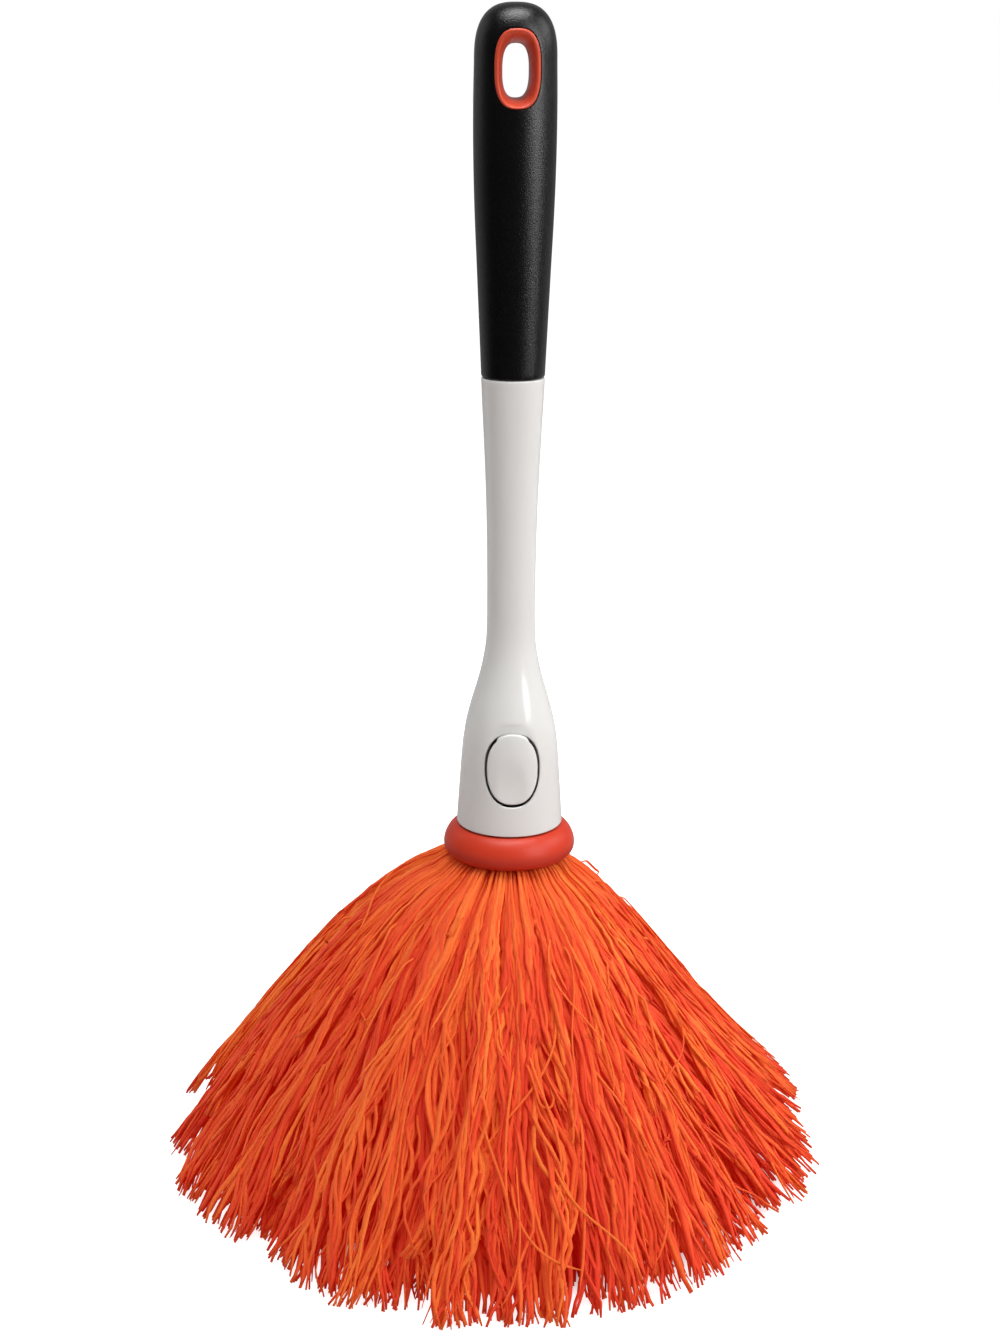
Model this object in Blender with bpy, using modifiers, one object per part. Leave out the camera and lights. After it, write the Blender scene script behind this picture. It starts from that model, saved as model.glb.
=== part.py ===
"""Microfibre hand duster that stands on its own splayed strands.

Metres, +Z up. The origin is the middle of the patch of floor under the strands, the handle
stands on the Z axis, and the side with the release tab faces -Y.
"""

import math
import random

import bmesh
import bpy
from mathutils import Vector

# Fits
seat_gap = 0.0003  # between two pieces that touch
cut_overrun = 0.004  # how far a cutter runs past what it cuts
edge_round = 0.0005  # the small round on moulded edges
weld_distance = 0.00001

# Heights: from the floor up to the collar, and on to the top of the grip
skirt_height = 0.1045
collar_height = 0.0110
neck_length = 0.1447
grip_length = 0.1095

# Neck housing
bell_radius = 0.0171
bell_length = 0.0736  # from the bell's rim up to the neck's waist
waist_radius = 0.0076
neck_top_radius = 0.0098
bell_wall = 0.0020
cavity_height = 0.0395  # from the bell's rim up to the ceiling of its socket
neck_bore_radius = 0.0036
neck_top_wall = 0.0080
tang_radius = 0.0050
tang_length = 0.0420
# Shares of the bell's height, and of its flare beyond the waist
bell_flare_shares = (
    (0, 1), (0.18, 0.908), (0.36, 0.802), (0.46, 0.69), (0.55, 0.52),
    (0.64, 0.312), (0.73, 0.142), (0.82, 0.035), (0.91, 0.004), (1, 0),
)
# Shares of the height from the waist to the grip, and of the swell beyond the waist
neck_swell_shares = (
    (0, 0), (0.18, 0.035), (0.36, 0.13), (0.54, 0.31), (0.72, 0.57), (0.88, 0.83), (1, 1),
)

# Grip
grip_radius = 0.0125
grip_foot_radius = 0.0098
sleeve_wall = 0.0018
dome_height = 0.0165
dome_power = 2.65  # 2 is an ellipse, more is blunter
# Shares of the height below the dome, and of the swell beyond the grip's foot
grip_swell_shares = (
    (0, 0), (0.12, 0.18), (0.25, 0.38), (0.38, 0.58), (0.50, 0.77), (0.63, 0.92),
    (0.76, 1), (0.88, 1), (1, 0.93),
)

# Hang hole and its liner
hole_below_top = 0.0188
liner_width = 0.0136
liner_height = 0.0236
liner_lip = 0.0006
liner_proud = 0.0002
opening_width = 0.0080
opening_height = 0.0162
opening_drop = 0.0007  # the narrow middle of the funnel sits this much lower than its mouths
funnel_power = 2.4  # how late the funnel flares: 1 is a straight cone
funnel_reach_share = 1.2  # how far its cutter runs, of the way to a mouth
oval_power = 2.3

# Release tab
tab_width = 0.0178
tab_height = 0.0240
tab_above_rim = 0.0218  # from the bell's rim to the tab's middle
tab_slit = 0.00085
tab_hinge_width = 0.0102
tab_proud = 0.0003
tab_dish_radius = 0.0450
tab_dish_depth = 0.0009
tab_dish_drop_share = 0.125  # how far the dish lies below the tab's middle, of its height
push_rib_width = 0.0050
push_rib_height = 0.0040
push_rib_above_rim = 0.0152  # from the bell's rim to the rib's middle

# Catch: a finger in the plug's front slot, with a barb over a ledge in the bell
finger_width = 0.0050
finger_thickness = 0.0012
finger_reach = 0.0099  # from the axis to the finger's front face
finger_foot_above_rim = 0.0017
finger_foot_height = 0.0025
finger_foot_depth = 0.0032
finger_slot_depth = 0.0042  # from the finger's front face to the back of its slot
barb_depth = 0.0010
barb_height = 0.0006
barb_slope_height = 0.0019
ledge_height = 0.0015
ledge_above_rim = 0.0339  # from the bell's rim to the ledge's underside

# Head plug and spool
plug_height = 0.0342  # from the bell's rim to the plug's top
plug_clearance = 0.0004
plug_flat_reach = 0.0085  # from the axis to the flat behind the tab
plug_flat_above_rim = 0.0062
plug_core_radius = 0.0045
plug_floor_thickness = 0.0040
collar_bore_radius = 0.0133
flange_radius = 0.0158
flange_thickness = 0.0015
spool_radius = 0.0090

# Collar ring
collar_radius = 0.0213
collar_crown_radius = 0.0157  # where its flat top ends and the bulge begins

# Washer and screw under the spool
washer_radius = 0.0125
washer_thickness = 0.0014
screw_shank_radius = 0.0019
screw_length = 0.0140
screw_head_radius = 0.0037
screw_head_height = 0.0022
screw_recess_width = 0.0011
screw_recess_length = 0.0042
screw_recess_depth = 0.0011

# Strand tiers, from the top one down
tape_radius = 0.0146
tape_height = 0.0044
skirt_radius = 0.1100
strand_thickness = 0.0015
tip_width = 0.0040
tip_length = 0.0018
strand_wander = 0.0060  # how far a tip falls short of its tier's circle, at most
tier_names = ("strands_top_tier", "strands_upper_tier", "strands_lower_tier", "strands_bottom_tier")
tier_counts = (100, 88, 68, 48)
# Where each strand bends, as shares of the way from its tape to the floor
tier_bend_shares = ((0.15, 0.40, 0.70, 1), (0.20, 0.58, 1), (0.40, 1), (0.40, 1))
tier_floor_shares = (1, 0.81, 0.61, 0.39)  # of the skirt's radius
tier_out_shares = (0.29, 0.22, 0.16, 0.10)  # how far a strand first runs outward, of the same radius
tier_rise_shares = (0.070, 0.035, 0, -0.04)  # how far it lifts there, of the skirt's height
tier_knee_shares = (0.80, 0.80, 0.82, 0.86)  # where it turns down, of its own floor radius
knee_height_share = 0.36  # how high that is, of the skirt's height
fullness_share = 0.84  # a strand's width, of the room that it has beside its neighbours
sway_share = 0.55  # how much of the room left over its sideways waves take up
waves_around = 9
strand_seed = 12

# Facets
handle_sides = 32
grip_sides = 32
core_sides = 24
plug_sides = 32
collar_sides = 40
washer_sides = 28
screw_sides = 14
smooth_angle = math.radians(35)
cells_to_a_side = 4  # strand cells for each side of a tape's inner ring
oval_points = 28

# Places worked out from the sizes above
rim_z = skirt_height + collar_height + seat_gap
waist_z = rim_z + bell_length
grip_z = rim_z + neck_length
top_z = grip_z + grip_length
dome_z = top_z - dome_height
hole_z = top_z - hole_below_top
tab_z = rim_z + tab_above_rim
cavity_z = rim_z + cavity_height
plug_top_z = rim_z + plug_height
ledge_z = rim_z + ledge_above_rim
finger_foot_z = rim_z + finger_foot_above_rim
neck_shoulder_z = grip_z - seat_gap
tape_pitch = tape_height + seat_gap
flange_bottom_z = skirt_height - seat_gap - flange_thickness
spool_bottom_z = flange_bottom_z - len(tier_names) * tape_pitch - seat_gap
washer_top_z = spool_bottom_z - seat_gap
washer_bottom_z = washer_top_z - washer_thickness


def clear_scene():
    for old in list(bpy.data.objects):
        bpy.data.objects.remove(old)


def new_collection(name):
    found = bpy.data.collections.new(name)
    bpy.context.scene.collection.children.link(found)
    return found


def plastic(name, colour, roughness):
    material = bpy.data.materials.new(name)
    material.use_nodes = True
    shader = material.node_tree.nodes["Principled BSDF"]
    shader.inputs["Base Color"].default_value = (*colour, 1)
    shader.inputs["Roughness"].default_value = roughness
    return material


def steel(name):
    material = plastic(name, (0.55, 0.56, 0.58), 0.3)
    material.node_tree.nodes["Principled BSDF"].inputs["Metallic"].default_value = 1
    return material


clear_scene()
pieces = new_collection("microfibre_duster")
cutters = new_collection("cutters")

black_rubber = plastic("soft_black_grip", (0.012, 0.012, 0.014), 0.5)
grey_core = plastic("grey_core", (0.30, 0.30, 0.31), 0.5)
white_gloss = plastic("white_gloss", (0.78, 0.77, 0.74), 0.18)
orange_rubber = plastic("soft_orange", (0.70, 0.075, 0.020), 0.45)
orange_fibre = plastic("orange_microfibre", (0.86, 0.13, 0.020), 0.9)
zinc_steel = steel("zinc_steel")


# Shapes


def share_at(shares, place):
    """The second number of a table of shares at a place along the first, on a smooth curve."""
    last = len(shares) - 1
    i = 0
    while i < last - 1 and place > shares[i + 1][0]:
        i += 1
    (x0, y0), (x1, y1) = shares[i], shares[i + 1]

    def slope(k):
        before, after = shares[max(k - 1, 0)], shares[min(k + 1, last)]
        return (after[1] - before[1]) / (after[0] - before[0])

    span = x1 - x0
    t = min(max((place - x0) / span, 0), 1)
    rise = (2 * t**3 - 3 * t**2 + 1) * y0 + (3 * t**2 - 2 * t**3) * y1
    return rise + span * ((t**3 - 2 * t**2 + t) * slope(i) + (t**3 - t**2) * slope(i + 1))


def spread(low, high, steps):
    return [low + (high - low) * i / steps for i in range(steps + 1)]


def arc(centre_r, centre_z, radius, start, end, steps=3):
    """Points of an arc in the profile plane, between two angles in degrees."""
    turns = [math.radians(a) for a in spread(start, end, steps)]
    return [(centre_r + radius * math.cos(a), centre_z + radius * math.sin(a)) for a in turns]


def neck_radius_at(z):
    if z < waist_z:
        flare = share_at(bell_flare_shares, (z - rim_z) / bell_length)
        return waist_radius + (bell_radius - waist_radius) * flare
    swell = share_at(neck_swell_shares, (z - waist_z) / (grip_z - waist_z))
    return waist_radius + (neck_top_radius - waist_radius) * swell


def socket_radius_at(z):
    return neck_radius_at(z) - bell_wall


def grip_outline(inset, foot_z, dome_steps=7, side_steps=9):
    """The grip's profile from the top of its dome down to foot_z, moved inwards by inset."""
    dome_radius = grip_foot_radius + (grip_radius - grip_foot_radius) * grip_swell_shares[-1][1]
    points = []
    for turn in spread(0, math.pi / 2, dome_steps):
        points.append(
            (
                (dome_radius - inset) * math.sin(turn) ** (2 / dome_power),
                dome_z + (dome_height - inset) * math.cos(turn) ** (2 / dome_power),
            )
        )
    for z in reversed(spread(foot_z, dome_z, side_steps)[:-1]):
        swell = share_at(grip_swell_shares, (z - grip_z) / (dome_z - grip_z))
        points.append((grip_foot_radius + (grip_radius - grip_foot_radius) * swell - inset, z))
    return points


def oval(half_width, half_height, power=2, count=oval_points):
    """Points round an oval, from its right end. A power over 2 makes it fuller in its corners."""
    points = []
    for turn in spread(0, 2 * math.pi, count)[:-1]:
        c, s = math.cos(turn), math.sin(turn)
        points.append(
            (
                half_width * math.copysign(abs(c) ** (2 / power), c),
                half_height * math.copysign(abs(s) ** (2 / power), s),
            )
        )
    return points


# Objects


def add_object(name, mesh, collection, material=None):
    made = bpy.data.objects.new(name, mesh)
    collection.objects.link(made)
    if material:
        mesh.materials.append(material)
        mesh.shade_smooth()
        mesh.set_sharp_from_angle(angle=smooth_angle)
    if collection == cutters:
        made.hide_render = True
        made.display_type = "WIRE"
    return made


def turned(name, profile, sides, collection, material=None, closed=False):
    """A profile of (radius, height) points, turned round Z with a Screw modifier."""
    count = len(profile)
    edges = [(i, i + 1) for i in range(count - 1)] + ([(count - 1, 0)] if closed else [])
    mesh = bpy.data.meshes.new(name)
    mesh.from_pydata([(r, 0, z) for r, z in profile], edges, [])
    made = add_object(name, mesh, collection, material)
    screw = made.modifiers.new("turn", "SCREW")
    screw.axis = "Z"
    screw.steps = screw.render_steps = sides
    screw.use_merge_vertices = True
    screw.merge_threshold = weld_distance
    return made


def mesh_from(shape, name, collection, material=None):
    shape.normal_update()
    bmesh.ops.recalc_face_normals(shape, faces=shape.faces)
    mesh = bpy.data.meshes.new(name)
    shape.to_mesh(mesh)
    shape.free()
    return add_object(name, mesh, collection, material)


def prism(name, outline, depth, collection, material=None):
    """A flat outline of (x, z) points made solid from -depth to 0 along Y, as a 2D curve."""
    curve = bpy.data.curves.new(name, "CURVE")
    curve.dimensions = "2D"
    curve.fill_mode = "BOTH"
    curve.extrude = depth / 2
    spline = curve.splines.new("POLY")
    spline.points.add(len(outline) - 1)
    spline.use_cyclic_u = True
    for point, (x, z) in zip(spline.points, outline):
        point.co = (x, z, 0, 1)
    guide = bpy.data.objects.new(name + "_outline", curve)
    cutters.objects.link(guide)
    graph = bpy.context.evaluated_depsgraph_get()
    mesh = bpy.data.meshes.new_from_object(guide.evaluated_get(graph))
    bpy.data.objects.remove(guide)
    shape = bmesh.new()
    shape.from_mesh(mesh)
    bmesh.ops.remove_doubles(shape, verts=shape.verts, dist=weld_distance)
    for vertex in shape.verts:
        x, z, y = vertex.co
        vertex.co = (x, y - depth / 2, z)
    return mesh_from(shape, name, collection, material)


def side_prism(name, outline, width, collection, material=None):
    """A flat outline of (y, z) points made solid across X, centred on the YZ plane."""
    made = prism(name, outline, width, collection, material)
    for vertex in made.data.vertices:
        y, x, z = vertex.co
        vertex.co = (x + width / 2, y, z)
    made.data.flip_normals()
    return made


def box(name, low, high, collection):
    shape = bmesh.new()
    bmesh.ops.create_cube(shape, size=1)
    low, high = Vector(low), Vector(high)
    for vertex in shape.verts:
        vertex.co = [
            (low[i] + high[i]) / 2 + vertex.co[i] * (high[i] - low[i]) for i in range(3)
        ]
    return mesh_from(shape, name, collection)


def loft(name, rings, collection, material=None):
    """A closed solid through rings of the same number of points."""
    shape = bmesh.new()
    loops = [[shape.verts.new(point) for point in ring] for ring in rings]
    for here, there in zip(loops, loops[1:]):
        for i in range(len(here)):
            after = (i + 1) % len(here)
            shape.faces.new((here[i], here[after], there[after], there[i]))
    shape.faces.new(loops[0])
    shape.faces.new(loops[-1])
    return mesh_from(shape, name, collection, material)


def combine(made, other, operation):
    change = made.modifiers.new(other.name, "BOOLEAN")
    change.operation = operation
    change.object = other
    return made


def cut(made, *others):
    for other in others:
        combine(made, other, "DIFFERENCE")


# Hang hole: one oval serves the liner's outside and the holes that it sits in


def hole_prism(name, gap, collection, material=None):
    depth = 2 * (grip_radius + cut_overrun)
    outline = oval(liner_width / 2 + gap, liner_height / 2 + gap, oval_power)
    made = prism(name, [(x, z + hole_z) for x, z in outline], depth, collection, material)
    made.location.y = depth / 2
    return made


def make_grip():
    sleeve_profile = grip_outline(0, grip_z + edge_round)
    foot = arc(grip_foot_radius - edge_round, grip_z + edge_round, edge_round, 0, -90)
    inside = grip_outline(sleeve_wall, grip_z, 5, 6)
    sleeve = turned(
        "grip_sleeve", sleeve_profile + foot[1:] + inside[::-1], grip_sides, pieces, black_rubber
    )
    cut(sleeve, hole_prism("sleeve_hole", seat_gap, cutters))

    socket_radius = tang_radius + seat_gap
    socket_z = grip_z + tang_length + seat_gap
    core_profile = grip_outline(sleeve_wall + seat_gap, grip_z + seat_gap, 5, 6) + [
        (socket_radius, grip_z + seat_gap),
        (socket_radius, socket_z),
        (0, socket_z),
    ]
    core = turned("grip_core", core_profile, core_sides, pieces, grey_core)
    cut(core, hole_prism("core_hole", seat_gap, cutters))


def make_liner():
    liner = hole_prism("hang_hole_liner", 0, pieces, orange_rubber)
    envelope_profile = grip_outline(-liner_proud, grip_z, 6, 6) + [(0, grip_z)]
    envelope = turned("liner_envelope", envelope_profile, grip_sides, cutters)
    combine(liner, envelope, "INTERSECT")
    mouth = grip_radius + liner_proud
    rings = []
    for y_share in spread(-funnel_reach_share, funnel_reach_share, 10):
        flare = abs(y_share) ** funnel_power
        half_width = opening_width / 2 + (liner_width / 2 - liner_lip - opening_width / 2) * flare
        half_height = (
            opening_height / 2 + (liner_height / 2 - liner_lip - opening_height / 2) * flare
        )
        middle_z = hole_z - opening_drop * (1 - flare)
        outline = oval(half_width, half_height, oval_power)
        rings.append([(x, mouth * y_share, middle_z + z) for x, z in outline])
    cut(liner, loft("funnel", rings, cutters))


def tab_outline(inset, hinge_inset):
    """The tab's oval. Its top, as wide as the hinge, can have another inset than the rest."""
    half_width, half_height = tab_width / 2, tab_height / 2
    hinge_points, other_points = [], []
    for x, z in oval(half_width - inset, half_height - inset, oval_power, 2 * oval_points):
        if not (z > 0 and abs(x) < tab_hinge_width / 2):
            other_points.append((x, z))
    for x in spread(tab_hinge_width / 2, -tab_hinge_width / 2, 6):
        share = (abs(x) / (half_width - hinge_inset)) ** oval_power
        hinge_points.append((x, (half_height - hinge_inset) * (1 - share) ** (1 / oval_power)))
    start = next(i for i, (x, z) in enumerate(other_points) if x < 0 < z)
    outline = other_points[start:] + other_points[:start] + hinge_points
    return [(x, z + tab_z) for x, z in outline]


def make_neck():
    shoulder = arc(
        neck_top_radius - edge_round, neck_shoulder_z - edge_round, edge_round, 90, 0
    )
    rim = arc(bell_radius - edge_round, rim_z + edge_round, edge_round, 0, -90)
    upper_z = spread(waist_z, neck_shoulder_z - edge_round, 5)[:-1]
    bell_z = spread(rim_z + edge_round, waist_z, 14)[:-1]
    tang_z = grip_z + tang_length
    bore_z = neck_shoulder_z - neck_top_wall
    profile = [(0, tang_z), (tang_radius - edge_round, tang_z)]
    profile += [(tang_radius, tang_z - edge_round), (tang_radius, neck_shoulder_z)]
    profile += shoulder
    profile += [(neck_radius_at(z), z) for z in reversed(upper_z)]
    profile += [(neck_radius_at(z), z) for z in reversed(bell_z)]
    profile += rim[1:]
    profile += [(socket_radius_at(z), z) for z in spread(rim_z, cavity_z, 6)]
    profile += [(neck_bore_radius, cavity_z), (neck_bore_radius, bore_z), (0, bore_z)]
    housing = turned("neck_housing", profile, handle_sides, pieces, white_gloss)

    ledge_reach = socket_radius_at(ledge_z) + bell_wall / 2
    ledge = box(
        "catch_ledge",
        (-finger_width / 2, -ledge_reach, ledge_z),
        (finger_width / 2, -finger_reach - seat_gap, ledge_z + ledge_height),
        cutters,
    )
    combine(housing, ledge, "UNION")
    window = prism("tab_window", tab_outline(0, 0), bell_radius + cut_overrun, cutters)
    cut(housing, window)


def make_tab():
    """The tab is the stretch of bell wall inside the window, a little proud and dished."""
    half = tab_height / 2 + bell_wall
    heights = spread(tab_z - half, tab_z + half, 10)
    outer = [(neck_radius_at(z) + tab_proud, z) for z in reversed(heights)]
    inner = [(socket_radius_at(z), z) for z in heights]
    wall = turned("tab_wall", outer + inner, handle_sides, cutters, closed=True)
    outline = tab_outline(tab_slit, seat_gap)
    tab = prism("release_tab", outline, bell_radius + cut_overrun, pieces, white_gloss)
    combine(tab, wall, "INTERSECT")

    rib_z = rim_z + push_rib_above_rim
    rib = box(
        "push_rib",
        (-push_rib_width / 2, -socket_radius_at(rib_z) - bell_wall / 2, rib_z - push_rib_height / 2),
        (push_rib_width / 2, -finger_reach - seat_gap, rib_z + push_rib_height / 2),
        cutters,
    )
    combine(tab, rib, "UNION")

    dish_mesh = bpy.data.meshes.new("tab_dish")
    dish = bmesh.new()
    bmesh.ops.create_uvsphere(dish, u_segments=96, v_segments=48, radius=tab_dish_radius)
    dish.to_mesh(dish_mesh)
    dish.free()
    sphere = add_object("tab_dish", dish_mesh, cutters)
    dish_z = tab_z - tab_dish_drop_share * tab_height
    face_reach = neck_radius_at(dish_z) + tab_proud
    sphere.location = (0, -face_reach - tab_dish_radius + tab_dish_depth, dish_z)
    cut(tab, sphere)


def make_catch():
    front, back = -finger_reach, -finger_reach + finger_thickness
    foot_z = finger_foot_z
    barb_z = ledge_z + ledge_height + seat_gap
    top_z = barb_z + barb_height + barb_slope_height
    outline = [
        (front, foot_z),
        (front + finger_foot_depth, foot_z),
        (front + finger_foot_depth, foot_z + finger_foot_height),
        (back, foot_z + finger_foot_height + edge_round),
        (back, top_z),
        (front + edge_round, top_z),
        (front - barb_depth, barb_z + barb_height),
        (front - barb_depth, barb_z),
        (front, barb_z),
    ]
    side_prism("spring_catch", outline, finger_width, pieces, grey_core)


def make_plug():
    spigot_z = spread(rim_z, plug_top_z - edge_round, 6)
    neck_radius = collar_bore_radius - seat_gap
    pilot_z = spool_bottom_z + screw_length
    profile = [(plug_core_radius, plug_top_z)]
    profile += [(socket_radius_at(plug_top_z) - plug_clearance - edge_round, plug_top_z)]
    profile += [(socket_radius_at(z) - plug_clearance, z) for z in reversed(spigot_z)]
    profile += [(neck_radius, rim_z), (neck_radius, skirt_height - seat_gap)]
    profile += [(flange_radius, skirt_height - seat_gap), (flange_radius, flange_bottom_z)]
    profile += [(spool_radius, flange_bottom_z), (spool_radius, spool_bottom_z)]
    profile += [(screw_shank_radius + seat_gap, spool_bottom_z)]
    profile += [(screw_shank_radius + seat_gap, pilot_z), (0, pilot_z)]
    profile += [(0, pilot_z + plug_floor_thickness)]
    profile += [(plug_core_radius, pilot_z + plug_floor_thickness)]
    plug = turned("head_plug", profile, plug_sides, pieces, white_gloss, closed=True)

    reach = bell_radius + cut_overrun
    top = plug_top_z + cut_overrun
    flat = box(
        "plug_flat",
        (-reach, -reach, rim_z + plug_flat_above_rim),
        (reach, -plug_flat_reach, top),
        cutters,
    )
    half_slot = finger_width / 2 + seat_gap
    slot = box(
        "finger_slot",
        (-half_slot, -reach, finger_foot_z - seat_gap),
        (half_slot, -finger_reach + finger_slot_depth, top),
        cutters,
    )
    cut(plug, flat, slot)


def make_collar():
    middle_z = skirt_height + collar_height / 2
    bulge = collar_radius - collar_crown_radius
    profile = [(collar_bore_radius, middle_z + collar_height / 2)]
    for turn in spread(math.pi / 2, -math.pi / 2, 10):
        r = collar_crown_radius + bulge * math.cos(turn)
        profile.append((r, middle_z + collar_height / 2 * math.sin(turn)))
    profile.append((collar_bore_radius, middle_z - collar_height / 2))
    turned("collar_ring", profile, collar_sides, pieces, orange_rubber, closed=True)


def make_washer():
    bore = screw_shank_radius + seat_gap
    profile = [
        (bore, washer_top_z),
        (washer_radius, washer_top_z),
        (washer_radius, washer_bottom_z + edge_round),
        (washer_radius - edge_round, washer_bottom_z),
        (bore, washer_bottom_z),
    ]
    turned("retainer_washer", profile, washer_sides, pieces, grey_core, closed=True)


def make_screw():
    head_top_z = washer_bottom_z - seat_gap
    shank_top_z = spool_bottom_z + screw_length - seat_gap
    crown = screw_head_height / 2
    profile = [(0, shank_top_z), (screw_shank_radius / 2, shank_top_z)]
    profile += [(screw_shank_radius, shank_top_z - screw_shank_radius)]
    profile += [(screw_shank_radius, head_top_z), (screw_head_radius, head_top_z)]
    for turn in spread(0, math.pi / 2, 4):
        r = screw_head_radius * math.cos(turn)
        profile.append((r, head_top_z - crown - crown * math.sin(turn)))
    screw = turned("retainer_screw", profile, screw_sides, pieces, zinc_steel)
    head_bottom_z = head_top_z - screw_head_height
    half_length, half_width = screw_recess_length / 2, screw_recess_width / 2
    for name, half_x, half_y in (
        ("recess_across", half_length, half_width),
        ("recess_along", half_width, half_length),
    ):
        low = (-half_x, -half_y, head_bottom_z - cut_overrun)
        high = (half_x, half_y, head_bottom_z + screw_recess_depth)
        cut(screw, box(name, low, high, cutters))


# Strands


def strand_path(tier, root_z, floor_radius):
    """A function that gives (radius, height) along a strand, from 0 at the tape to 1 at the floor."""
    ends = [
        Vector((tape_radius, root_z)),
        Vector((
            tape_radius + tier_out_shares[tier] * skirt_radius,
            root_z + tier_rise_shares[tier] * skirt_height,
        )),
        Vector((tier_knee_shares[tier] * floor_radius, knee_height_share * root_z)),
        Vector((floor_radius, 0)),
    ]

    def at(t):
        s = 1 - t
        return s**3 * ends[0] + 3 * s * s * t * ends[1] + 3 * s * t * t * ends[2] + t**3 * ends[3]

    return at


def place_ring(face, corners, turn, centre, across, width, thickness):
    """Puts a strand's four corners about a centre in the plane at angle turn."""
    out = Vector((math.cos(turn), math.sin(turn), 0))
    side = Vector((-math.sin(turn), math.cos(turn), 0))
    up = out * across.x + Vector((0, 0, across.y))
    middle = out * centre.x + Vector((0, 0, centre.y))
    for vertex, (left, low) in zip(face.verts, corners):
        vertex.co = middle + side * (width / 2 * left) + up * (thickness / 2 * low)


def tape_ring(shape, count, root_z):
    """Header tape wound to a ring. Its outside has a cell for each strand, which are returned."""
    levels = root_z - tape_height / 2, root_z + tape_height / 2

    def circle(radius, z, sides):
        turns = [2 * math.pi * i / sides - math.pi / count for i in range(sides)]
        return [shape.verts.new((radius * math.cos(a), radius * math.sin(a), z)) for a in turns]

    low, high = (circle(tape_radius, z, count) for z in levels)
    inner_count = count // cells_to_a_side
    inner_radius = (spool_radius + seat_gap) / math.cos(math.pi / inner_count)
    inner_low, inner_high = (circle(inner_radius, z, inner_count) for z in levels)
    cells = []
    for i in range(count):
        after = (i + 1) % count
        cells.append(shape.faces.new((low[i], low[after], high[after], high[i])))
    for i in range(inner_count):
        after = (i + 1) % inner_count
        shape.faces.new((inner_low[after], inner_low[i], inner_high[i], inner_high[after]))
        first = i * cells_to_a_side
        edge = [(first + k) % count for k in range(cells_to_a_side + 1)]
        shape.faces.new([inner_high[after], inner_high[i]] + [high[k] for k in edge])
        shape.faces.new([inner_low[i], inner_low[after]] + [low[k] for k in reversed(edge)])
    shape.normal_update()
    return cells


def make_strand_tier(tier):
    """A ring of header tape whose outside is drawn out, cell by cell, into strands."""
    count, bends = tier_counts[tier], tier_bend_shares[tier]
    root_z = flange_bottom_z - seat_gap - tape_height / 2 - tier * tape_pitch
    pick = random.Random(strand_seed + tier)
    shape = bmesh.new()
    cells = tape_ring(shape, count, root_z)
    for cell in cells:
        middle = cell.calc_center_median()
        turn = math.atan2(middle.y, middle.x)
        side = Vector((-math.sin(turn), math.cos(turn), 0))
        corners = [
            (math.copysign(1, (vertex.co - middle).dot(side)), math.copysign(1, vertex.co.z - root_z))
            for vertex in cell.verts
        ]
        on_a_row_axis = abs(math.remainder(turn, math.pi / 2)) < math.pi / count
        short = 0 if on_a_row_axis else strand_wander * pick.random()
        path = strand_path(tier, root_z, tier_floor_shares[tier] * skirt_radius - short)
        face = cell
        for before, t in zip((0, *bends), bends):
            face = bmesh.ops.extrude_discrete_faces(shape, faces=[face])["faces"][0]
            centre = path(t)
            room = 2 * math.pi * centre.x / count
            width = fullness_share * room
            # Neighbours sway together, so a wave draws them closer but never across each other.
            wave = math.sin(waves_around * turn) * math.sin(2 * math.pi * t)
            sway = sway_share * (1 - fullness_share) / waves_around * wave
            if t == 1:
                place_ring(
                    face, corners, turn, centre, Vector((1, 0)), min(tip_width, width), tip_length
                )
                continue
            along = path(t + (t - before) / 2) - path(t - (t - before) / 2)
            across = Vector((-along.y, along.x)).normalized()
            place_ring(face, corners, turn + sway, centre, across, width, strand_thickness)
    mesh_from(shape, tier_names[tier], pieces, orange_fibre)


make_grip()
make_liner()
make_neck()
make_tab()
make_catch()
make_plug()
make_collar()
make_washer()
make_screw()
for tier_index in range(len(tier_names)):
    make_strand_tier(tier_index)
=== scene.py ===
# %% [markdown]
# # A microfibre duster, dressed for its picture
#
# The real duster is a handle with a soft black grip, a glossy white neck that flares into a bell,
# a rubber collar, and a skirt of orange microfibre strands that it stands on.
#
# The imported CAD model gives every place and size. It is loaded first, so that each piece made here
# can be fitted to it and can ride on the body that moves it.

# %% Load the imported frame
import math

import bmesh
import bpy
import numpy as np
from mathutils import Matrix, Vector


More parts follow.
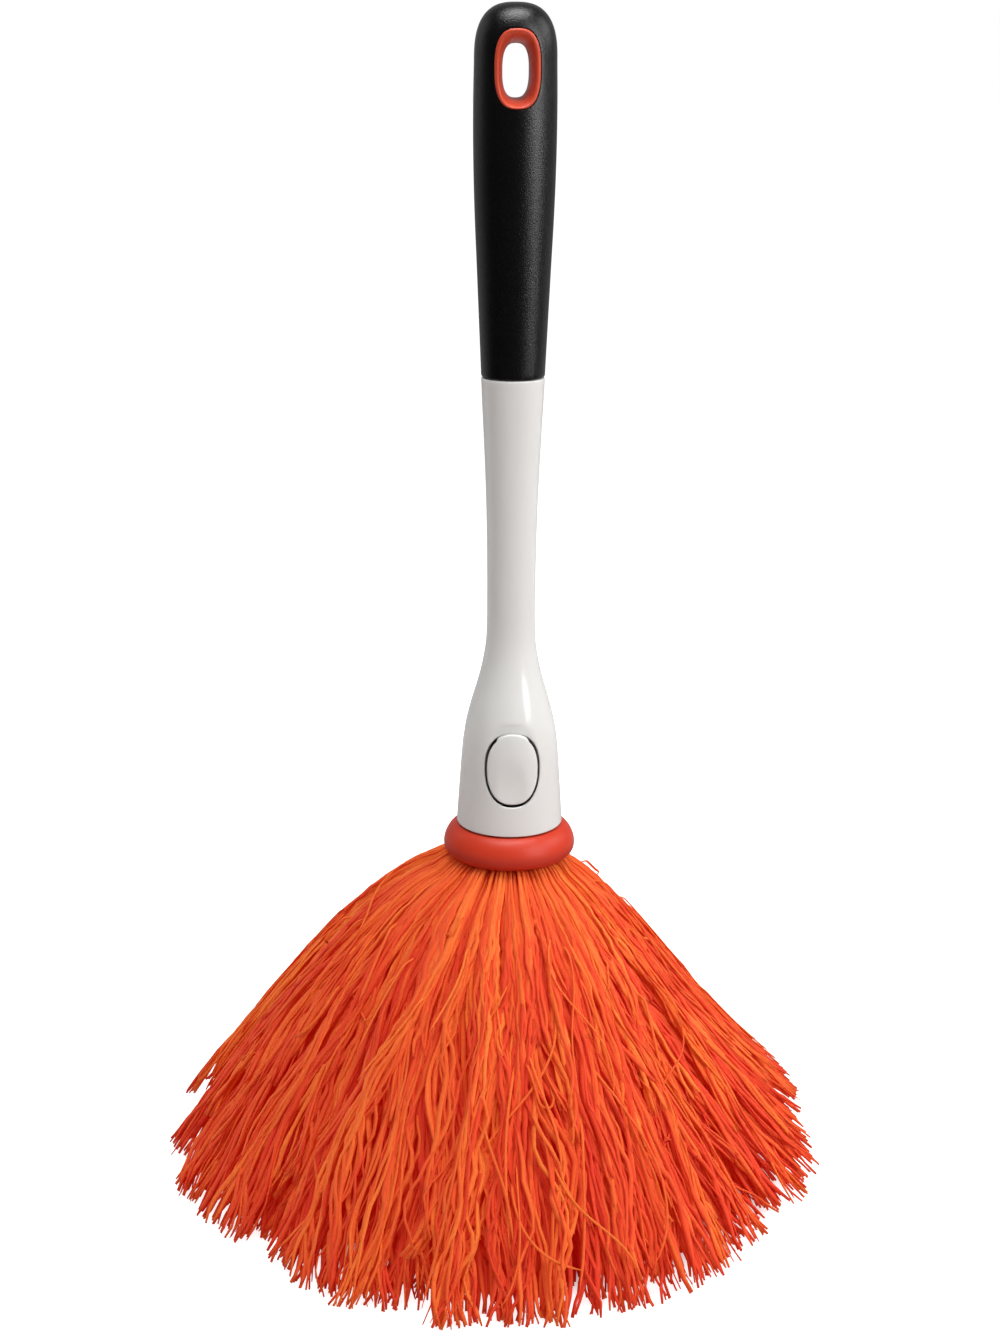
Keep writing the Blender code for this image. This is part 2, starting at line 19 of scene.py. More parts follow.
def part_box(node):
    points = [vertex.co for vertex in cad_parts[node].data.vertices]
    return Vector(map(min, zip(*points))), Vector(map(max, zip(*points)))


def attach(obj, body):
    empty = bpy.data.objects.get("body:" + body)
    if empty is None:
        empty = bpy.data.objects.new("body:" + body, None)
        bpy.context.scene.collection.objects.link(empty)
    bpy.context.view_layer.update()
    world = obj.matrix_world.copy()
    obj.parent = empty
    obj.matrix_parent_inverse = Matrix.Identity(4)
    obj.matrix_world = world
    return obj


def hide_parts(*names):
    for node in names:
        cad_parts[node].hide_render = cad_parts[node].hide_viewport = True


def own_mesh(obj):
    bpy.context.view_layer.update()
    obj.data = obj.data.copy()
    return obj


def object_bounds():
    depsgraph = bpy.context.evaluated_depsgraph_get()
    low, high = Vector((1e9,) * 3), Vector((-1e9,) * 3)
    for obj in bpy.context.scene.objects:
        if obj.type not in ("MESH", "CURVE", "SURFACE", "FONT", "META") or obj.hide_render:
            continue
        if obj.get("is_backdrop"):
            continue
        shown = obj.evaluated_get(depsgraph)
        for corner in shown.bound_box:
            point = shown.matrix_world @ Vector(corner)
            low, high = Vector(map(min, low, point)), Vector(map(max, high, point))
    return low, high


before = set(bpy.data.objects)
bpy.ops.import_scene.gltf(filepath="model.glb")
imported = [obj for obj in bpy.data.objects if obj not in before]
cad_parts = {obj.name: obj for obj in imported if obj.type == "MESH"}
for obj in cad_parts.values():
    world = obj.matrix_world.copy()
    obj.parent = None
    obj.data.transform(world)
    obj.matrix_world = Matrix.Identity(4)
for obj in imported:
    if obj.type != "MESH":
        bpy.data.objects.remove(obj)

cad_low, cad_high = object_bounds()
print("frame:", len(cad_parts), "nodes, top at", round(cad_high.z, 4), "m")

# %% [markdown]
# ## Camera
#
# The photograph looks down at the duster, from just under its top and a little to its left. The
# slopes of the joint lines and the round foot of the strands give the distance, and so the height,
# the tilt and the lens. A camera could also aim with a constraint, but plain numbers keep the same
# framing when other views move it.

# %% Stand the camera
camera_distance = 0.643  # from the handle's axis, along the floor
camera_height = 0.3568
camera_side = math.radians(-3.5)
camera_aim = math.radians(-3.2)
camera_tilt = math.radians(16.4)
camera_roll = math.radians(0.4)
camera_lens = 56.7

camera = bpy.data.objects.new("camera", bpy.data.cameras.new("camera"))
bpy.context.scene.collection.objects.link(camera)
camera.data.lens = camera_lens
camera.matrix_world = (
    Matrix.Translation((
        camera_distance * math.sin(camera_side),
        -camera_distance * math.cos(camera_side),
        camera_height,
    ))
    @ Matrix.Rotation(camera_aim, 4, "Z")
    @ Matrix.Rotation(math.pi / 2 - camera_tilt, 4, "X")
    @ Matrix.Rotation(camera_roll, 4, "Z")
)
bpy.context.scene.camera = camera
bpy.context.scene.view_settings.view_transform = "Standard"
print("camera at", [round(v, 3) for v in camera.location])

# %% [markdown]
# ## Materials: a few helpers
#
# Every finish here is a Principled shader with nodes in front of it. They could be wired by hand
# in the shader editor. In a script, a few helpers keep the calls short: one adds a node and fills
# its sockets, the others are the kinds of node that come up again and again.

# %% Helpers for shader nodes
def plug(tree, value, socket):
    """Sets a socket to a number or colour, or links it if the value is a socket itself."""
    if isinstance(value, bpy.types.NodeSocket):
        tree.links.new(value, socket)
    else:
        socket.default_value = value


def add_node(tree, kind, settings=None, **sockets):
    """Adds a node and fills its sockets by name, with _ for each space."""
    node = tree.nodes.new(kind)
    for name, value in (settings or {}).items():
        setattr(node, name, value)
    for name, value in sockets.items():
        plug(tree, value, node.inputs[name.replace("_", " ")])
    return node


def maths(tree, operation, first, second):
    node = add_node(tree, "ShaderNodeMath", {"operation": operation})
    plug(tree, first, node.inputs[0])
    plug(tree, second, node.inputs[1])
    return node.outputs[0]


def vector_maths(tree, operation, *vectors, **sockets):
    node = add_node(tree, "ShaderNodeVectorMath", {"operation": operation}, **sockets)
    for socket, vector in zip(node.inputs, vectors):
        plug(tree, vector, socket)
    return node.outputs


def map_range(tree, value, low=0.0, high=1.0, **sockets):
    """0 at low and 1 at high, or To Min and To Max, and no further."""
    node = add_node(tree, "ShaderNodeMapRange", From_Min=low, From_Max=high, **sockets)
    plug(tree, value, node.inputs["Value"])
    return node.outputs["Result"]


def mix_colours(tree, share, first, second):
    """A Mix node has sockets for each kind of data. Those for colours have these numbers."""
    node = add_node(tree, "ShaderNodeMix", {"data_type": "RGBA"})
    for number, value in ((0, share), (6, first), (7, second)):
        plug(tree, value, node.inputs[number])
    return node.outputs[2]


def place_on_object(tree):
    """A point's place on its own object, so that a pattern moves with the piece."""
    return add_node(tree, "ShaderNodeTexCoord").outputs["Object"]


print("node helpers ready")

# %% Helpers for groups and materials
def start_group(name, inputs, outputs):
    """A shader node group with named number or colour sockets, and its two end nodes."""
    tree = bpy.data.node_groups.new(name, "ShaderNodeTree")
    kinds = {"value": "NodeSocketFloat", "colour": "NodeSocketColor"}
    for socket_name, (kind, value) in inputs.items():
        socket = tree.interface.new_socket(socket_name, in_out="INPUT", socket_type=kinds[kind])
        socket.default_value = value
    for socket_name, kind in outputs.items():
        tree.interface.new_socket(socket_name, in_out="OUTPUT", socket_type=kinds[kind])
    return tree, tree.nodes.new("NodeGroupInput").outputs, tree.nodes.new("NodeGroupOutput").inputs


def place_group(tree, group, **sockets):
    return add_node(tree, "ShaderNodeGroup", {"node_tree": group}, **sockets).outputs


def start_material(name):
    material = bpy.data.materials.new(name)
    material.use_nodes = True
    return material, material.node_tree, material.node_tree.nodes["Principled BSDF"]


print("group and material helpers ready")

# %% [markdown]
# ## Shared effect: moulded grain
#
# Rubber and plastic copy the grain of their mould: a fine pebble, with a slow unevenness under it.
# Two noise textures at unlike scales do both. As a node group it serves the grip, the rubber, the
# white plastic and the hidden core, each with its own grain size.

# %% Group: moulded grain
moulded_grain, given, result = start_group(
    "moulded_grain",
    {"Grain Size": ("value", 0.0004), "Softness": ("value", 0.5), "Mottle Size": ("value", 0.02)},
    {"Height": "value", "Mottle": "value"},
)
for size, detail, softness, answer in (
    ("Grain Size", 2.0, given["Softness"], "Height"), ("Mottle Size", 3.0, 0.5, "Mottle")
):
    noise = add_node(
        moulded_grain, "ShaderNodeTexNoise", Vector=place_on_object(moulded_grain), Detail=detail,
        Scale=maths(moulded_grain, "DIVIDE", 1.0, given[size]), Roughness=softness,
    )
    plug(moulded_grain, noise.outputs["Fac"], result[answer])
print("group", moulded_grain.name)

# %% [markdown]
# ## Shared effect: rubbed edges
#
# Handling polishes the edges that stand proud. Cycles knows how convex a surface is (Pointiness),
# and a noise breaks the line up, so that the wear is never an even outline.

# %% Group: rubbed edges
rubbed_edges, given, result = start_group(
    "rubbed_edges",
    {"Edge Start": ("value", 0.52), "Edge Full": ("value", 0.60), "Patch Size": ("value", 0.004)},
    {"Wear": "value"},
)
patches = add_node(
    rubbed_edges, "ShaderNodeTexNoise", Vector=place_on_object(rubbed_edges), Detail=4.0,
    Scale=maths(rubbed_edges, "DIVIDE", 1.0, given["Patch Size"]),
)
convex = add_node(rubbed_edges, "ShaderNodeNewGeometry").outputs["Pointiness"]
edges = map_range(rubbed_edges, convex, given["Edge Start"], given["Edge Full"])
plug(rubbed_edges, maths(rubbed_edges, "MULTIPLY", edges, patches.outputs["Fac"]), result["Wear"])
print("group", rubbed_edges.name)

# %% [markdown]
# ## Shared effect: dust and finger marks
#
# A duster collects dust, and a thin film of it changes how sharp a gloss looks long before it
# changes the colour. The group gives one mask, from a distorted noise, which roughens the surface.

# %% Group: handled film
handled_film, given, result = start_group(
    "handled_film",
    {"Mark Size": ("value", 0.01), "Least": ("value", 0.45), "Most": ("value", 0.75)},
    {"Film": "value"},
)
smears = add_node(
    handled_film, "ShaderNodeTexNoise", Vector=place_on_object(handled_film), Detail=5.0,
    Scale=maths(handled_film, "DIVIDE", 1.0, given["Mark Size"]), Distortion=0.6,
)
film = map_range(handled_film, smears.outputs["Fac"], given["Least"], given["Most"])
plug(handled_film, film, result["Film"])
print("group", handled_film.name)

# %% [markdown]
# ## Moulded finishes
#
# One function builds all moulded materials, because they differ only in numbers: colour, how much
# the mottle and the wear lighten it, roughness, and the grain's size and depth. What is the same
# all over, such as the coat, is set on the shader itself.

# %% Moulded rubber and plastic
grains_per_mottle, grains_per_mark = 40, 25


def moulded_material(
    name, colour, worn_colour, roughness, grain_size, grain_depth,
    mottle_share=0.12, film_share=0.15, wear_share=0.3, **constants
):
    """Sizes and depths are in metres. The constants go to the shader's own sockets."""
    material, tree, shader = start_material(name)
    grain = place_group(
        tree, moulded_grain, Grain_Size=grain_size, Mottle_Size=grain_size * grains_per_mottle
    )
    wear = place_group(tree, rubbed_edges)["Wear"]
    film = place_group(tree, handled_film, Mark_Size=grain_size * grains_per_mark)["Film"]
    worn_colour = (*worn_colour, 1)
    mottle = maths(tree, "MULTIPLY", grain["Mottle"], mottle_share)
    mottled = mix_colours(tree, mottle, (*colour, 1), worn_colour)
    worn = mix_colours(tree, maths(tree, "MULTIPLY", wear, wear_share), mottled, worn_colour)
    plug(tree, worn, shader.inputs["Base Color"])
    dulled = maths(tree, "ADD", maths(tree, "MULTIPLY", film, film_share), roughness)
    plug(tree, dulled, shader.inputs["Roughness"])
    bump = add_node(tree, "ShaderNodeBump", Height=grain["Height"], Distance=grain_depth)
    plug(tree, bump.outputs["Normal"], shader.inputs["Normal"])
    for socket, value in constants.items():
        shader.inputs[socket.replace("_", " ")].default_value = value
    return material


grip_black = moulded_material(
    "soft_black_grip", (0.0040, 0.0036, 0.0042), (0.016, 0.015, 0.017), 0.29, 0.00035, 0.00010,
    film_share=0.03, mottle_share=0.06,
)
liner_orange = moulded_material(
    "liner_orange", (0.62, 0.058, 0.020), (0.78, 0.13, 0.06), 0.36, 0.00025, 0.00002,
)
collar_orange = moulded_material(
    "collar_orange", (0.64, 0.034, 0.009), (0.80, 0.10, 0.03), 0.40, 0.00030, 0.00005,
    film_share=0.06, Specular_IOR_Level=0.45,
)
gloss_white = moulded_material(
    "white_gloss", (0.80, 0.785, 0.76), (0.86, 0.85, 0.83), 0.16, 0.0008, 0.000006,
    film_share=0.10, wear_share=0.2, Coat_Weight=0.30, Coat_Roughness=0.11,
)
# Painted shade: a near-black plastic for the walls of the tab's slit and the bell rim's underside,
# where shade falls.
painted_shade_black = moulded_material(
    "painted_shade_black", (0.012, 0.011, 0.010), (0.035, 0.032, 0.028), 0.9, 0.0003, 0.00003,
)
core_grey = moulded_material(
    "grey_core", (0.28, 0.28, 0.29), (0.42, 0.42, 0.43), 0.5, 0.0005, 0.00004,
)
print("moulded finishes:", 6)

# %% [markdown]
# ## Floor and light
#
# The photograph is a product shot on white: soft lights on the right and above, a slim one behind
# on the left, and a little light from all round. So the floor is pale and plain, oblong lamps
# stand for the soft boxes, and the world gives the rest. In such a studio black boards stand
# in front of the object, or a black grip would look grey. So mirror-like reflections see darkness
# there and white behind, and only the camera sees the floor's own glow, which keeps paper white,
# but not under the skirt, where paper is in shade. Some lamps are flagged, as a photographer says:
# one draws the long gleam on the grip and lights nothing else, and two lift the skirt's edges.

# %% Floor
floor_reach, paper_glow = 14.0, 0.85
white_paper, black_board = (0.72, 0.72, 0.72, 1), (0.02, 0.02, 0.02, 1)
board_starts_y, board_full_y = 0.5, 0.1
shade_radius, open_radius = 0.080, 0.098

floor_mesh = bpy.data.meshes.new("floor")
floor_mesh.from_pydata(
    [(x * floor_reach, y * floor_reach, 0) for x, y in ((-1, -1), (1, -1), (1, 1), (-1, 1))],
    [], [(0, 1, 2, 3)],
)
floor = bpy.data.objects.new("floor", floor_mesh)
bpy.context.scene.collection.objects.link(floor)
floor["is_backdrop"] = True
floor_white, tree, paper = start_material("floor_white")
paper.inputs["Roughness"].default_value = 1
paper.inputs["Specular IOR Level"].default_value = 0
paper.inputs["Emission Strength"].default_value = paper_glow
rays = add_node(tree, "ShaderNodeLightPath").outputs
place = place_on_object(tree)
place_y = add_node(tree, "ShaderNodeSeparateXYZ", Vector=place).outputs["Y"]
on_board = map_range(tree, place_y, board_starts_y, board_full_y)
boarded = maths(tree, "MULTIPLY", rays["Is Glossy Ray"], on_board)
plug(tree, mix_colours(tree, boarded, white_paper, black_board), paper.inputs["Base Color"])
from_middle = vector_maths(tree, "LENGTH", place)["Value"]
off_shadow = map_range(tree, from_middle, shade_radius, open_radius)
lit = maths(tree, "MULTIPLY", rays["Is Camera Ray"], off_shadow)
glow = mix_colours(tree, lit, (0, 0, 0, 1), (1, 1, 1, 1))
plug(tree, glow, paper.inputs["Emission Color"])
floor_mesh.materials.append(floor_white)
print("floor", 2 * floor_reach, "m wide")

# %% Soft boxes
def soft_box(name, turn, lift, distance, width, height, power):
    """An oblong lamp aimed at the middle of the duster, from a turn to the right and a lift up."""
    lamp = bpy.data.objects.new(name, bpy.data.lights.new(name, "AREA"))
    lamp.data.shape = "RECTANGLE"
    lamp.data.size, lamp.data.size_y, lamp.data.energy = width, height, power
    turn, lift = math.radians(turn), math.radians(lift)
    across, up = math.cos(lift), math.sin(lift)
    away = Vector((across * math.sin(turn), -across * math.cos(turn), up))
    lamp.location = Vector((0, 0, cad_high.z / 2)) + away * distance
    lamp.rotation_mode = "QUATERNION"
    lamp.rotation_quaternion = away.to_track_quat("Z", "Y")
    bpy.context.scene.collection.objects.link(lamp)
    return lamp


lamp_plans = (
    # name, turn and lift in degrees, distance, width and height in metres, power in watts
    ("key_box", 49, 26, 1.3, 0.42, 0.9, 7.1),
    ("side_box", 98, 30, 1.2, 0.5, 0.6, 3.0),
    ("top_box", 5, 84, 0.9, 0.64, 0.35, 7.0),
    ("rim_box", -122, 24, 1.2, 0.25, 0.7, 0.5),
    ("gleam_box", 64, 9, 1.2, 0.34, 0.5, 3.4),
    ("left_skirt_box", -118, 20, 1.2, 0.5, 0.5, 3.0),
    ("right_skirt_box", 95, 20, 1.2, 0.5, 0.5, 3.0),
)
lamps = {plan[0]: soft_box(*plan) for plan in lamp_plans}
gleam_pieces = bpy.data.collections.new("lit_by_gleam_box")
skirt_pieces = bpy.data.collections.new("lit_by_skirt_boxes")
lamps["gleam_box"].visible_diffuse = False
for name, pieces in (
    ("gleam_box", gleam_pieces),
    ("left_skirt_box", skirt_pieces),
    ("right_skirt_box", skirt_pieces),
):
    lamps[name].light_linking.receiver_collection = pieces
print("lamps:", list(lamps))

# %% World
world = bpy.data.worlds.new("studio")
bpy.context.scene.world = world
world.use_nodes = True
sky = world.node_tree
ambient, board_black, behind_white, seen_white = (
    (level, level, level, 1) for level in (0.31, 0.012, 0.40, 1.0)
)
behind_starts_y, behind_full_y = 0.45, 0.95
rays = add_node(sky, "ShaderNodeLightPath").outputs
direction = add_node(sky, "ShaderNodeTexCoord").outputs["Generated"]
towards_y = add_node(sky, "ShaderNodeSeparateXYZ", Vector=direction).outputs["Y"]
behind = map_range(sky, towards_y, behind_starts_y, behind_full_y)
mirrored = mix_colours(sky, behind, board_black, behind_white)
felt = mix_colours(sky, rays["Is Glossy Ray"], ambient, mirrored)
seen = mix_colours(sky, rays["Is Camera Ray"], felt, seen_white)
plug(sky, seen, sky.nodes["Background"].inputs["Color"])
print("world:", world.name)

# %% [markdown]
# ## Outlines of the turned pieces
#
# Neck, bell and grip are surfaces of revolution whose outline swells and draws in. The real ones
# are injection moulded from such a curve. The CAD solids follow it with a few flat facets, and a
# gloss shows each facet, so the curve is run again here with many more steps. Sharing one
# function for it keeps every fitted piece on the same surface.

# %% Outline curves
def share_at(shares, place):
    """The second number of a table of shares at a place along the first, on a smooth curve."""
    last = len(shares) - 1
    i = 0
    while i < last - 1 and place > shares[i + 1][0]:
        i += 1
    (x0, y0), (x1, y1) = shares[i], shares[i + 1]

    def slope(k):
        before, after = shares[max(k - 1, 0)], shares[min(k + 1, last)]
        return (after[1] - before[1]) / (after[0] - before[0])

    span = x1 - x0
    t = min(max((place - x0) / span, 0), 1)
    rise = (2 * t**3 - 3 * t**2 + 1) * y0 + (3 * t**2 - 2 * t**3) * y1
    return rise + span * ((t**3 - 2 * t**2 + t) * slope(i) + (t**3 - t**2) * slope(i + 1))


bell_length, bell_radius, bell_wall = 0.0736, 0.0171, 0.0020
waist_radius, neck_top_radius = 0.0076, 0.0098
edge_round, seat_gap = 0.0005, 0.0003
rim_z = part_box("neck_housing")[0].z
grip_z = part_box("grip_sleeve")[0].z
waist_z = rim_z + bell_length
bell_flare_shares = (
    (0, 1), (0.18, 0.908), (0.36, 0.802), (0.46, 0.69), (0.55, 0.52),
    (0.64, 0.312), (0.73, 0.142), (0.82, 0.035), (0.91, 0.004), (1, 0),
)
neck_swell_shares = (
    (0, 0), (0.18, 0.035), (0.36, 0.13), (0.54, 0.31), (0.72, 0.57), (0.88, 0.83), (1, 1),
)


def neck_radius_at(z):
    """The outside of the bell below the waist, and of the neck above it."""
    if z < waist_z:
        flare = share_at(bell_flare_shares, (z - rim_z) / (waist_z - rim_z))
        return waist_radius + (bell_radius - waist_radius) * flare
    swell = share_at(neck_swell_shares, (z - waist_z) / (grip_z - waist_z))
    return waist_radius + (neck_top_radius - waist_radius) * swell


def socket_radius_at(z):
    return neck_radius_at(z) - bell_wall


for name, z in (("bell", rim_z), ("waist", waist_z)):
    print(name, round(2 * neck_radius_at(z), 4), "m wide")

# %% Outline of the grip
top_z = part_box("grip_sleeve")[1].z
grip_foot_radius, grip_full_radius, sleeve_wall = 0.0098, 0.0125, 0.0018
dome_height, dome_power = 0.0165, 2.65
dome_z = top_z - dome_height
grip_swell_shares = (
    (0, 0), (0.12, 0.18), (0.25, 0.38), (0.38, 0.58), (0.50, 0.77), (0.63, 0.92),
    (0.76, 1), (0.88, 1), (1, 0.93),
)


def grip_radius_at(z, inset=0):
    """The outside of the grip, or a surface that lies further in."""
    if z > dome_z:
        lift = min((z - dome_z) / (dome_height - inset), 1)
        foot = grip_radius_at(dome_z, inset)
        return foot * (1 - lift**dome_power) ** (1 / dome_power)
    swell = share_at(grip_swell_shares, (z - grip_z) / (dome_z - grip_z))
    return grip_foot_radius + (grip_full_radius - grip_foot_radius) * swell - inset


def spread(low, high, steps):
    """Numbers at even steps from low to high, with both ends."""
    return [low + (high - low) * i / steps for i in range(steps + 1)]


def dome_rows(inset, lowest_z, steps):
    """(radius, height) rows from the dome's top down to a height, closer where it curves."""
    height = dome_height - inset
    last = math.acos(((lowest_z - dome_z) / height) ** (dome_power / 2))
    heights = [dome_z + height * math.cos(a) ** (2 / dome_power) for a in spread(0, last, steps)]
    return [(grip_radius_at(z, inset), z) for z in heights]


print("grip", round(2 * grip_radius_at(dome_z), 4), "m wide, dome from", round(dome_z, 4))

# %% [markdown]
# ## Building a turned skin with a window in it
#
# A hole could be cut with a Boolean, but on a gloss its long thin faces show as dents. So the
# skin is a grid of quads in which a block of cells is left out, and rings of quads run from the
# block's edge to the hole's oval. The last rings roll over the edge, which gives the lip that
# catches the light.

# %% Turned skins
def ring_point(radius, turn, z):
    """A point at an angle from the front, -Y, towards +X."""
    return Vector((radius * math.sin(turn), -radius * math.cos(turn), z))


def turned_rings(shape, rows, sides, blocks=()):
    """Rings of points for rows of (radius, height), joined by quads except in the blocks."""
    rings = []
    for radius, z in rows:
        turns = [0] if radius == 0 else [2 * math.pi * k / sides for k in range(sides)]
        rings.append([shape.verts.new(ring_point(radius, turn, z)) for turn in turns])
    left_out = set()
    for middle, half_columns, first, last in blocks:
        for row in range(first, last):
            left_out |= {(row, (middle + c) % sides) for c in range(-half_columns, half_columns)}
    for row, (here, there) in enumerate(zip(rings, rings[1:])):
        for k in range(sides):
            if (row, k) not in left_out:
                corners = [
                    here[k % len(here)], here[(k + 1) % len(here)],
                    there[(k + 1) % len(there)], there[k % len(there)],
                ]
                shape.faces.new(list(dict.fromkeys(corners)))
    return rings


def join_loops(shape, here, there, shade_painted_at=None):
    """Quads between two loops. The last argument, a test of (x, z), tells where they take the second
    material, which paints shade.
    """
    for i in range(len(here)):
        after = (i + 1) % len(here)
        face = shape.faces.new((here[i], here[after], there[after], there[i]))
        if shade_painted_at and shade_painted_at(here[i].co.x, here[i].co.z):
            face.material_index = 1


def finish_mesh(shape, name, *materials, sharp=35):
    """Turns a closed shape into a smooth object with sharp edges where its faces meet steeply."""
    bmesh.ops.recalc_face_normals(shape, faces=shape.faces)
    mesh = bpy.data.meshes.new(name)
    shape.to_mesh(mesh)
    shape.free()
    for material in materials:
        mesh.materials.append(material)
    mesh.shade_smooth()
    mesh.set_sharp_from_angle(angle=math.radians(sharp))
    made = bpy.data.objects.new(name, mesh)
    bpy.context.scene.collection.objects.link(made)
    return made


print("turned skin helpers ready")

# %% Windows in a turned skin
block_rows = 32  # rows of cells that are left out for a window
window_power = 2.3  # 2 is an ellipse, more is fuller in the corners
lip_degrees = (60, 30, 0)


def full_oval(u, v, half_width, half_height, power=window_power):
    """The point of an oval in the direction of a point (u, v) on the edge of a square."""
    reach = (abs(u) ** power + abs(v) ** power) ** (-1 / power)
    return half_width * u * reach, half_height * v * reach


def window_rings(shape, rings, rows, sides, block, radius_at, oval, lip=0, sink=None, steps=5):
    """Fills a block that was left out, up to the window's edge, and gives the edge's points.
    oval(u, v, more) is the window's outline, pushed out by more; sink(x, z) lowers the skin."""
    middle, half_columns, first, last = block
    top, bottom = (first, last) if rows[first][1] > rows[last][1] else (last, first)
    step = 1 if bottom > top else -1
    around = [(c, top) for c in range(-half_columns, half_columns)]
    around += [(half_columns, row) for row in range(top, bottom, step)]
    around += [(c, bottom) for c in range(half_columns, -half_columns, -1)]
    around += [(-half_columns, row) for row in range(bottom, top, -step)]
    centre_z = (rows[first][1] + rows[last][1]) / 2
    half_z = abs(rows[first][1] - rows[last][1]) / 2
    turned_by = 2 * math.pi * middle / sides
    before = [rings[row][(middle + c) % sides] for c, row in around]
    curve = [(share, lip, 0) for share in spread(0, 1, steps)[1:]]
    if lip:
        angles = [math.radians(a) for a in lip_degrees]
        curve += [(1, lip * (1 - math.cos(a)), lip * (1 - math.sin(a))) for a in angles]
    for share, more, depth in curve:
        loop = []
        for c, row in around:
            u, v = c / half_columns, (rows[row][1] - centre_z) / half_z
            x, z = oval(u, v, more)
            turn, height = 2 * math.pi * c / sides, rows[row][1]
            turn += (math.asin(x / radius_at(z)) - turn) * share
            height += (z - height) * share
            lowered = sink(radius_at(height) * math.sin(turn), height) if sink else 0
            radius = radius_at(height) - depth - lowered
            loop.append(shape.verts.new(ring_point(radius, turn + turned_by, height)))
        join_loops(shape, before, loop)
        before = loop
    return before


print("window helper ready")

# %% [markdown]
# ## Neck housing
#
# The real housing is one glossy white moulding: a waisted neck that flares into a bell, with an
# oval window for the release tab and a soft scoop above it for the thumb. The rim and the window
# have small rounds. The window's walls and the rim's underside take a near-black material: painted
# shade in the slit and between the bell and the collar. It could be modelled by hand with
# subdivision, but turning the measured outline keeps it exact.

# %% Window and scoop of the bell
tab_height = 0.0218  # from the rim to the middle of the tab
window_half_width, window_half_height, window_lip = 0.0089, 0.0120, 0.00035
hinge_half_width = 0.0051
scoop_depth, scoop_reach, scoop_half_width = 0.00050, 0.0021, 0.0064
tab_z = rim_z + tab_height


def tab_window(u, v, more):
    x, z = full_oval(u, v, window_half_width + more, window_half_height + more)
    return x, z + tab_z


def window_top_at(x):
    side = min(abs(x) / window_half_width, 1)
    return tab_z + window_half_height * (1 - side**window_power) ** (1 / window_power)


def thumb_scoop(x, z):
    """How deep the bell is scooped out above the tab's hinge."""
    above = max(z - window_top_at(x), 0) if z > tab_z else scoop_reach * 3
    return scoop_depth * math.exp(-((above / scoop_reach) ** 2) - (x / scoop_half_width) ** 6)


def in_slit(x, z):
    """Painted shade goes in the open slit, and not at the hinge, where the tab joins the bell."""
    return z < tab_z or abs(x) > hinge_half_width


print("window", 2 * window_half_width, "m wide and", 2 * window_half_height, "m high")

# %% Rows of the neck housing
tang_length, tang_radius = 0.0420, 0.0050
cavity_height, bore_radius, neck_top_wall = 0.0395, 0.0036, 0.0080
handle_sides, block_half_columns, block_half_height = 128, 16, 0.0146
neck_steps, bell_steps, rim_steps = 50, 40, 8
shoulder_z = grip_z - seat_gap
cavity_z, tang_z, bore_z = rim_z + cavity_height, grip_z + tang_length, shoulder_z - neck_top_wall
block_low, block_high = tab_z - block_half_height, tab_z + block_half_height


def quarter_round(radius, z, size, start, end, steps=4):
    """(radius, height) rows of a small round about a centre, between two angles in degrees."""
    turns = [math.radians(a) for a in spread(start, end, steps)]
    return [(radius + size * math.cos(a), z + size * math.sin(a)) for a in turns]


def outside_rows(high, low, steps):
    return [(neck_radius_at(z), z) for z in spread(high, low, steps)[1:]]


def socket_rows(low, high, steps):
    return [(socket_radius_at(z), z) for z in spread(low, high, steps)]


def block_from(rows, half_columns):
    """A block of cells to leave out: its middle, its half width, and its first and last rows."""
    return 0, half_columns, len(rows) - 1, len(rows) - 1 + block_rows


rows = [(0, tang_z), (tang_radius - edge_round, tang_z), (tang_radius, tang_z - edge_round)]
rows += [(tang_radius, shoulder_z)]
rows += quarter_round(neck_top_radius - edge_round, shoulder_z - edge_round, edge_round, 90, 0)
rows += outside_rows(shoulder_z - edge_round, waist_z, neck_steps)
rows += outside_rows(waist_z, block_high, bell_steps)
outer_block = block_from(rows, block_half_columns)
rows += outside_rows(block_high, block_low, block_rows)
rows += outside_rows(block_low, rim_z + edge_round, rim_steps)
rows += quarter_round(bell_radius - edge_round, rim_z + edge_round, edge_round, 0, -90)[1:]
rows += socket_rows(rim_z, block_low, rim_steps)
inner_block = block_from(rows, block_half_columns)
rows += socket_rows(block_low, block_high, block_rows)[1:]
rows += [(socket_radius_at(cavity_z), cavity_z), (bore_radius, cavity_z), (bore_radius, bore_z)]
rows += [(0, bore_z)]
print("neck housing:", len(rows), "rows")

# %% Neck housing
shape = bmesh.new()
rings = turned_rings(shape, rows, handle_sides, [outer_block, inner_block])
outer_edge = window_rings(
    shape, rings, rows, handle_sides, outer_block, neck_radius_at, tab_window, window_lip,
    thumb_scoop, steps=7,
)
inner_edge = window_rings(
    shape, rings, rows, handle_sides, inner_block, socket_radius_at, tab_window, steps=2
)
# The window's walls take the near-black second material, painted shade in the slit, except at the
# hinge.
join_loops(shape, outer_edge, inner_edge, in_slit)
# The rim's underside takes the near-black material too: painted shade between the bell and the
# collar.
for face in shape.faces:
    if max(vert.co.z for vert in face.verts) < rim_z + edge_round / 4:
        face.material_index = 1
neck = finish_mesh(shape, "neck_shell", gloss_white, painted_shade_black)
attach(neck, "handle")
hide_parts("neck_housing")
print(neck.name, len(neck.data.polygons), "faces")

# %% [markdown]
# ## Hinge web and catch ledge
#
# The tab is moulded in one with the bell and bends at its top edge, where a thin web of the same
# plastic closes the slit. The CAD has a fine gap there, with a hinge joint on it. Here the web
# fills most of that gap, a little below the skin, so that only a soft step shows, as on the real
# one. Inside the bell a short ledge holds the head's spring catch.

# %% Hinge web
web_front, web_back, web_reach, web_root = 0.00058, 0.0011, 0.00018, 0.0005
web_steps = 16


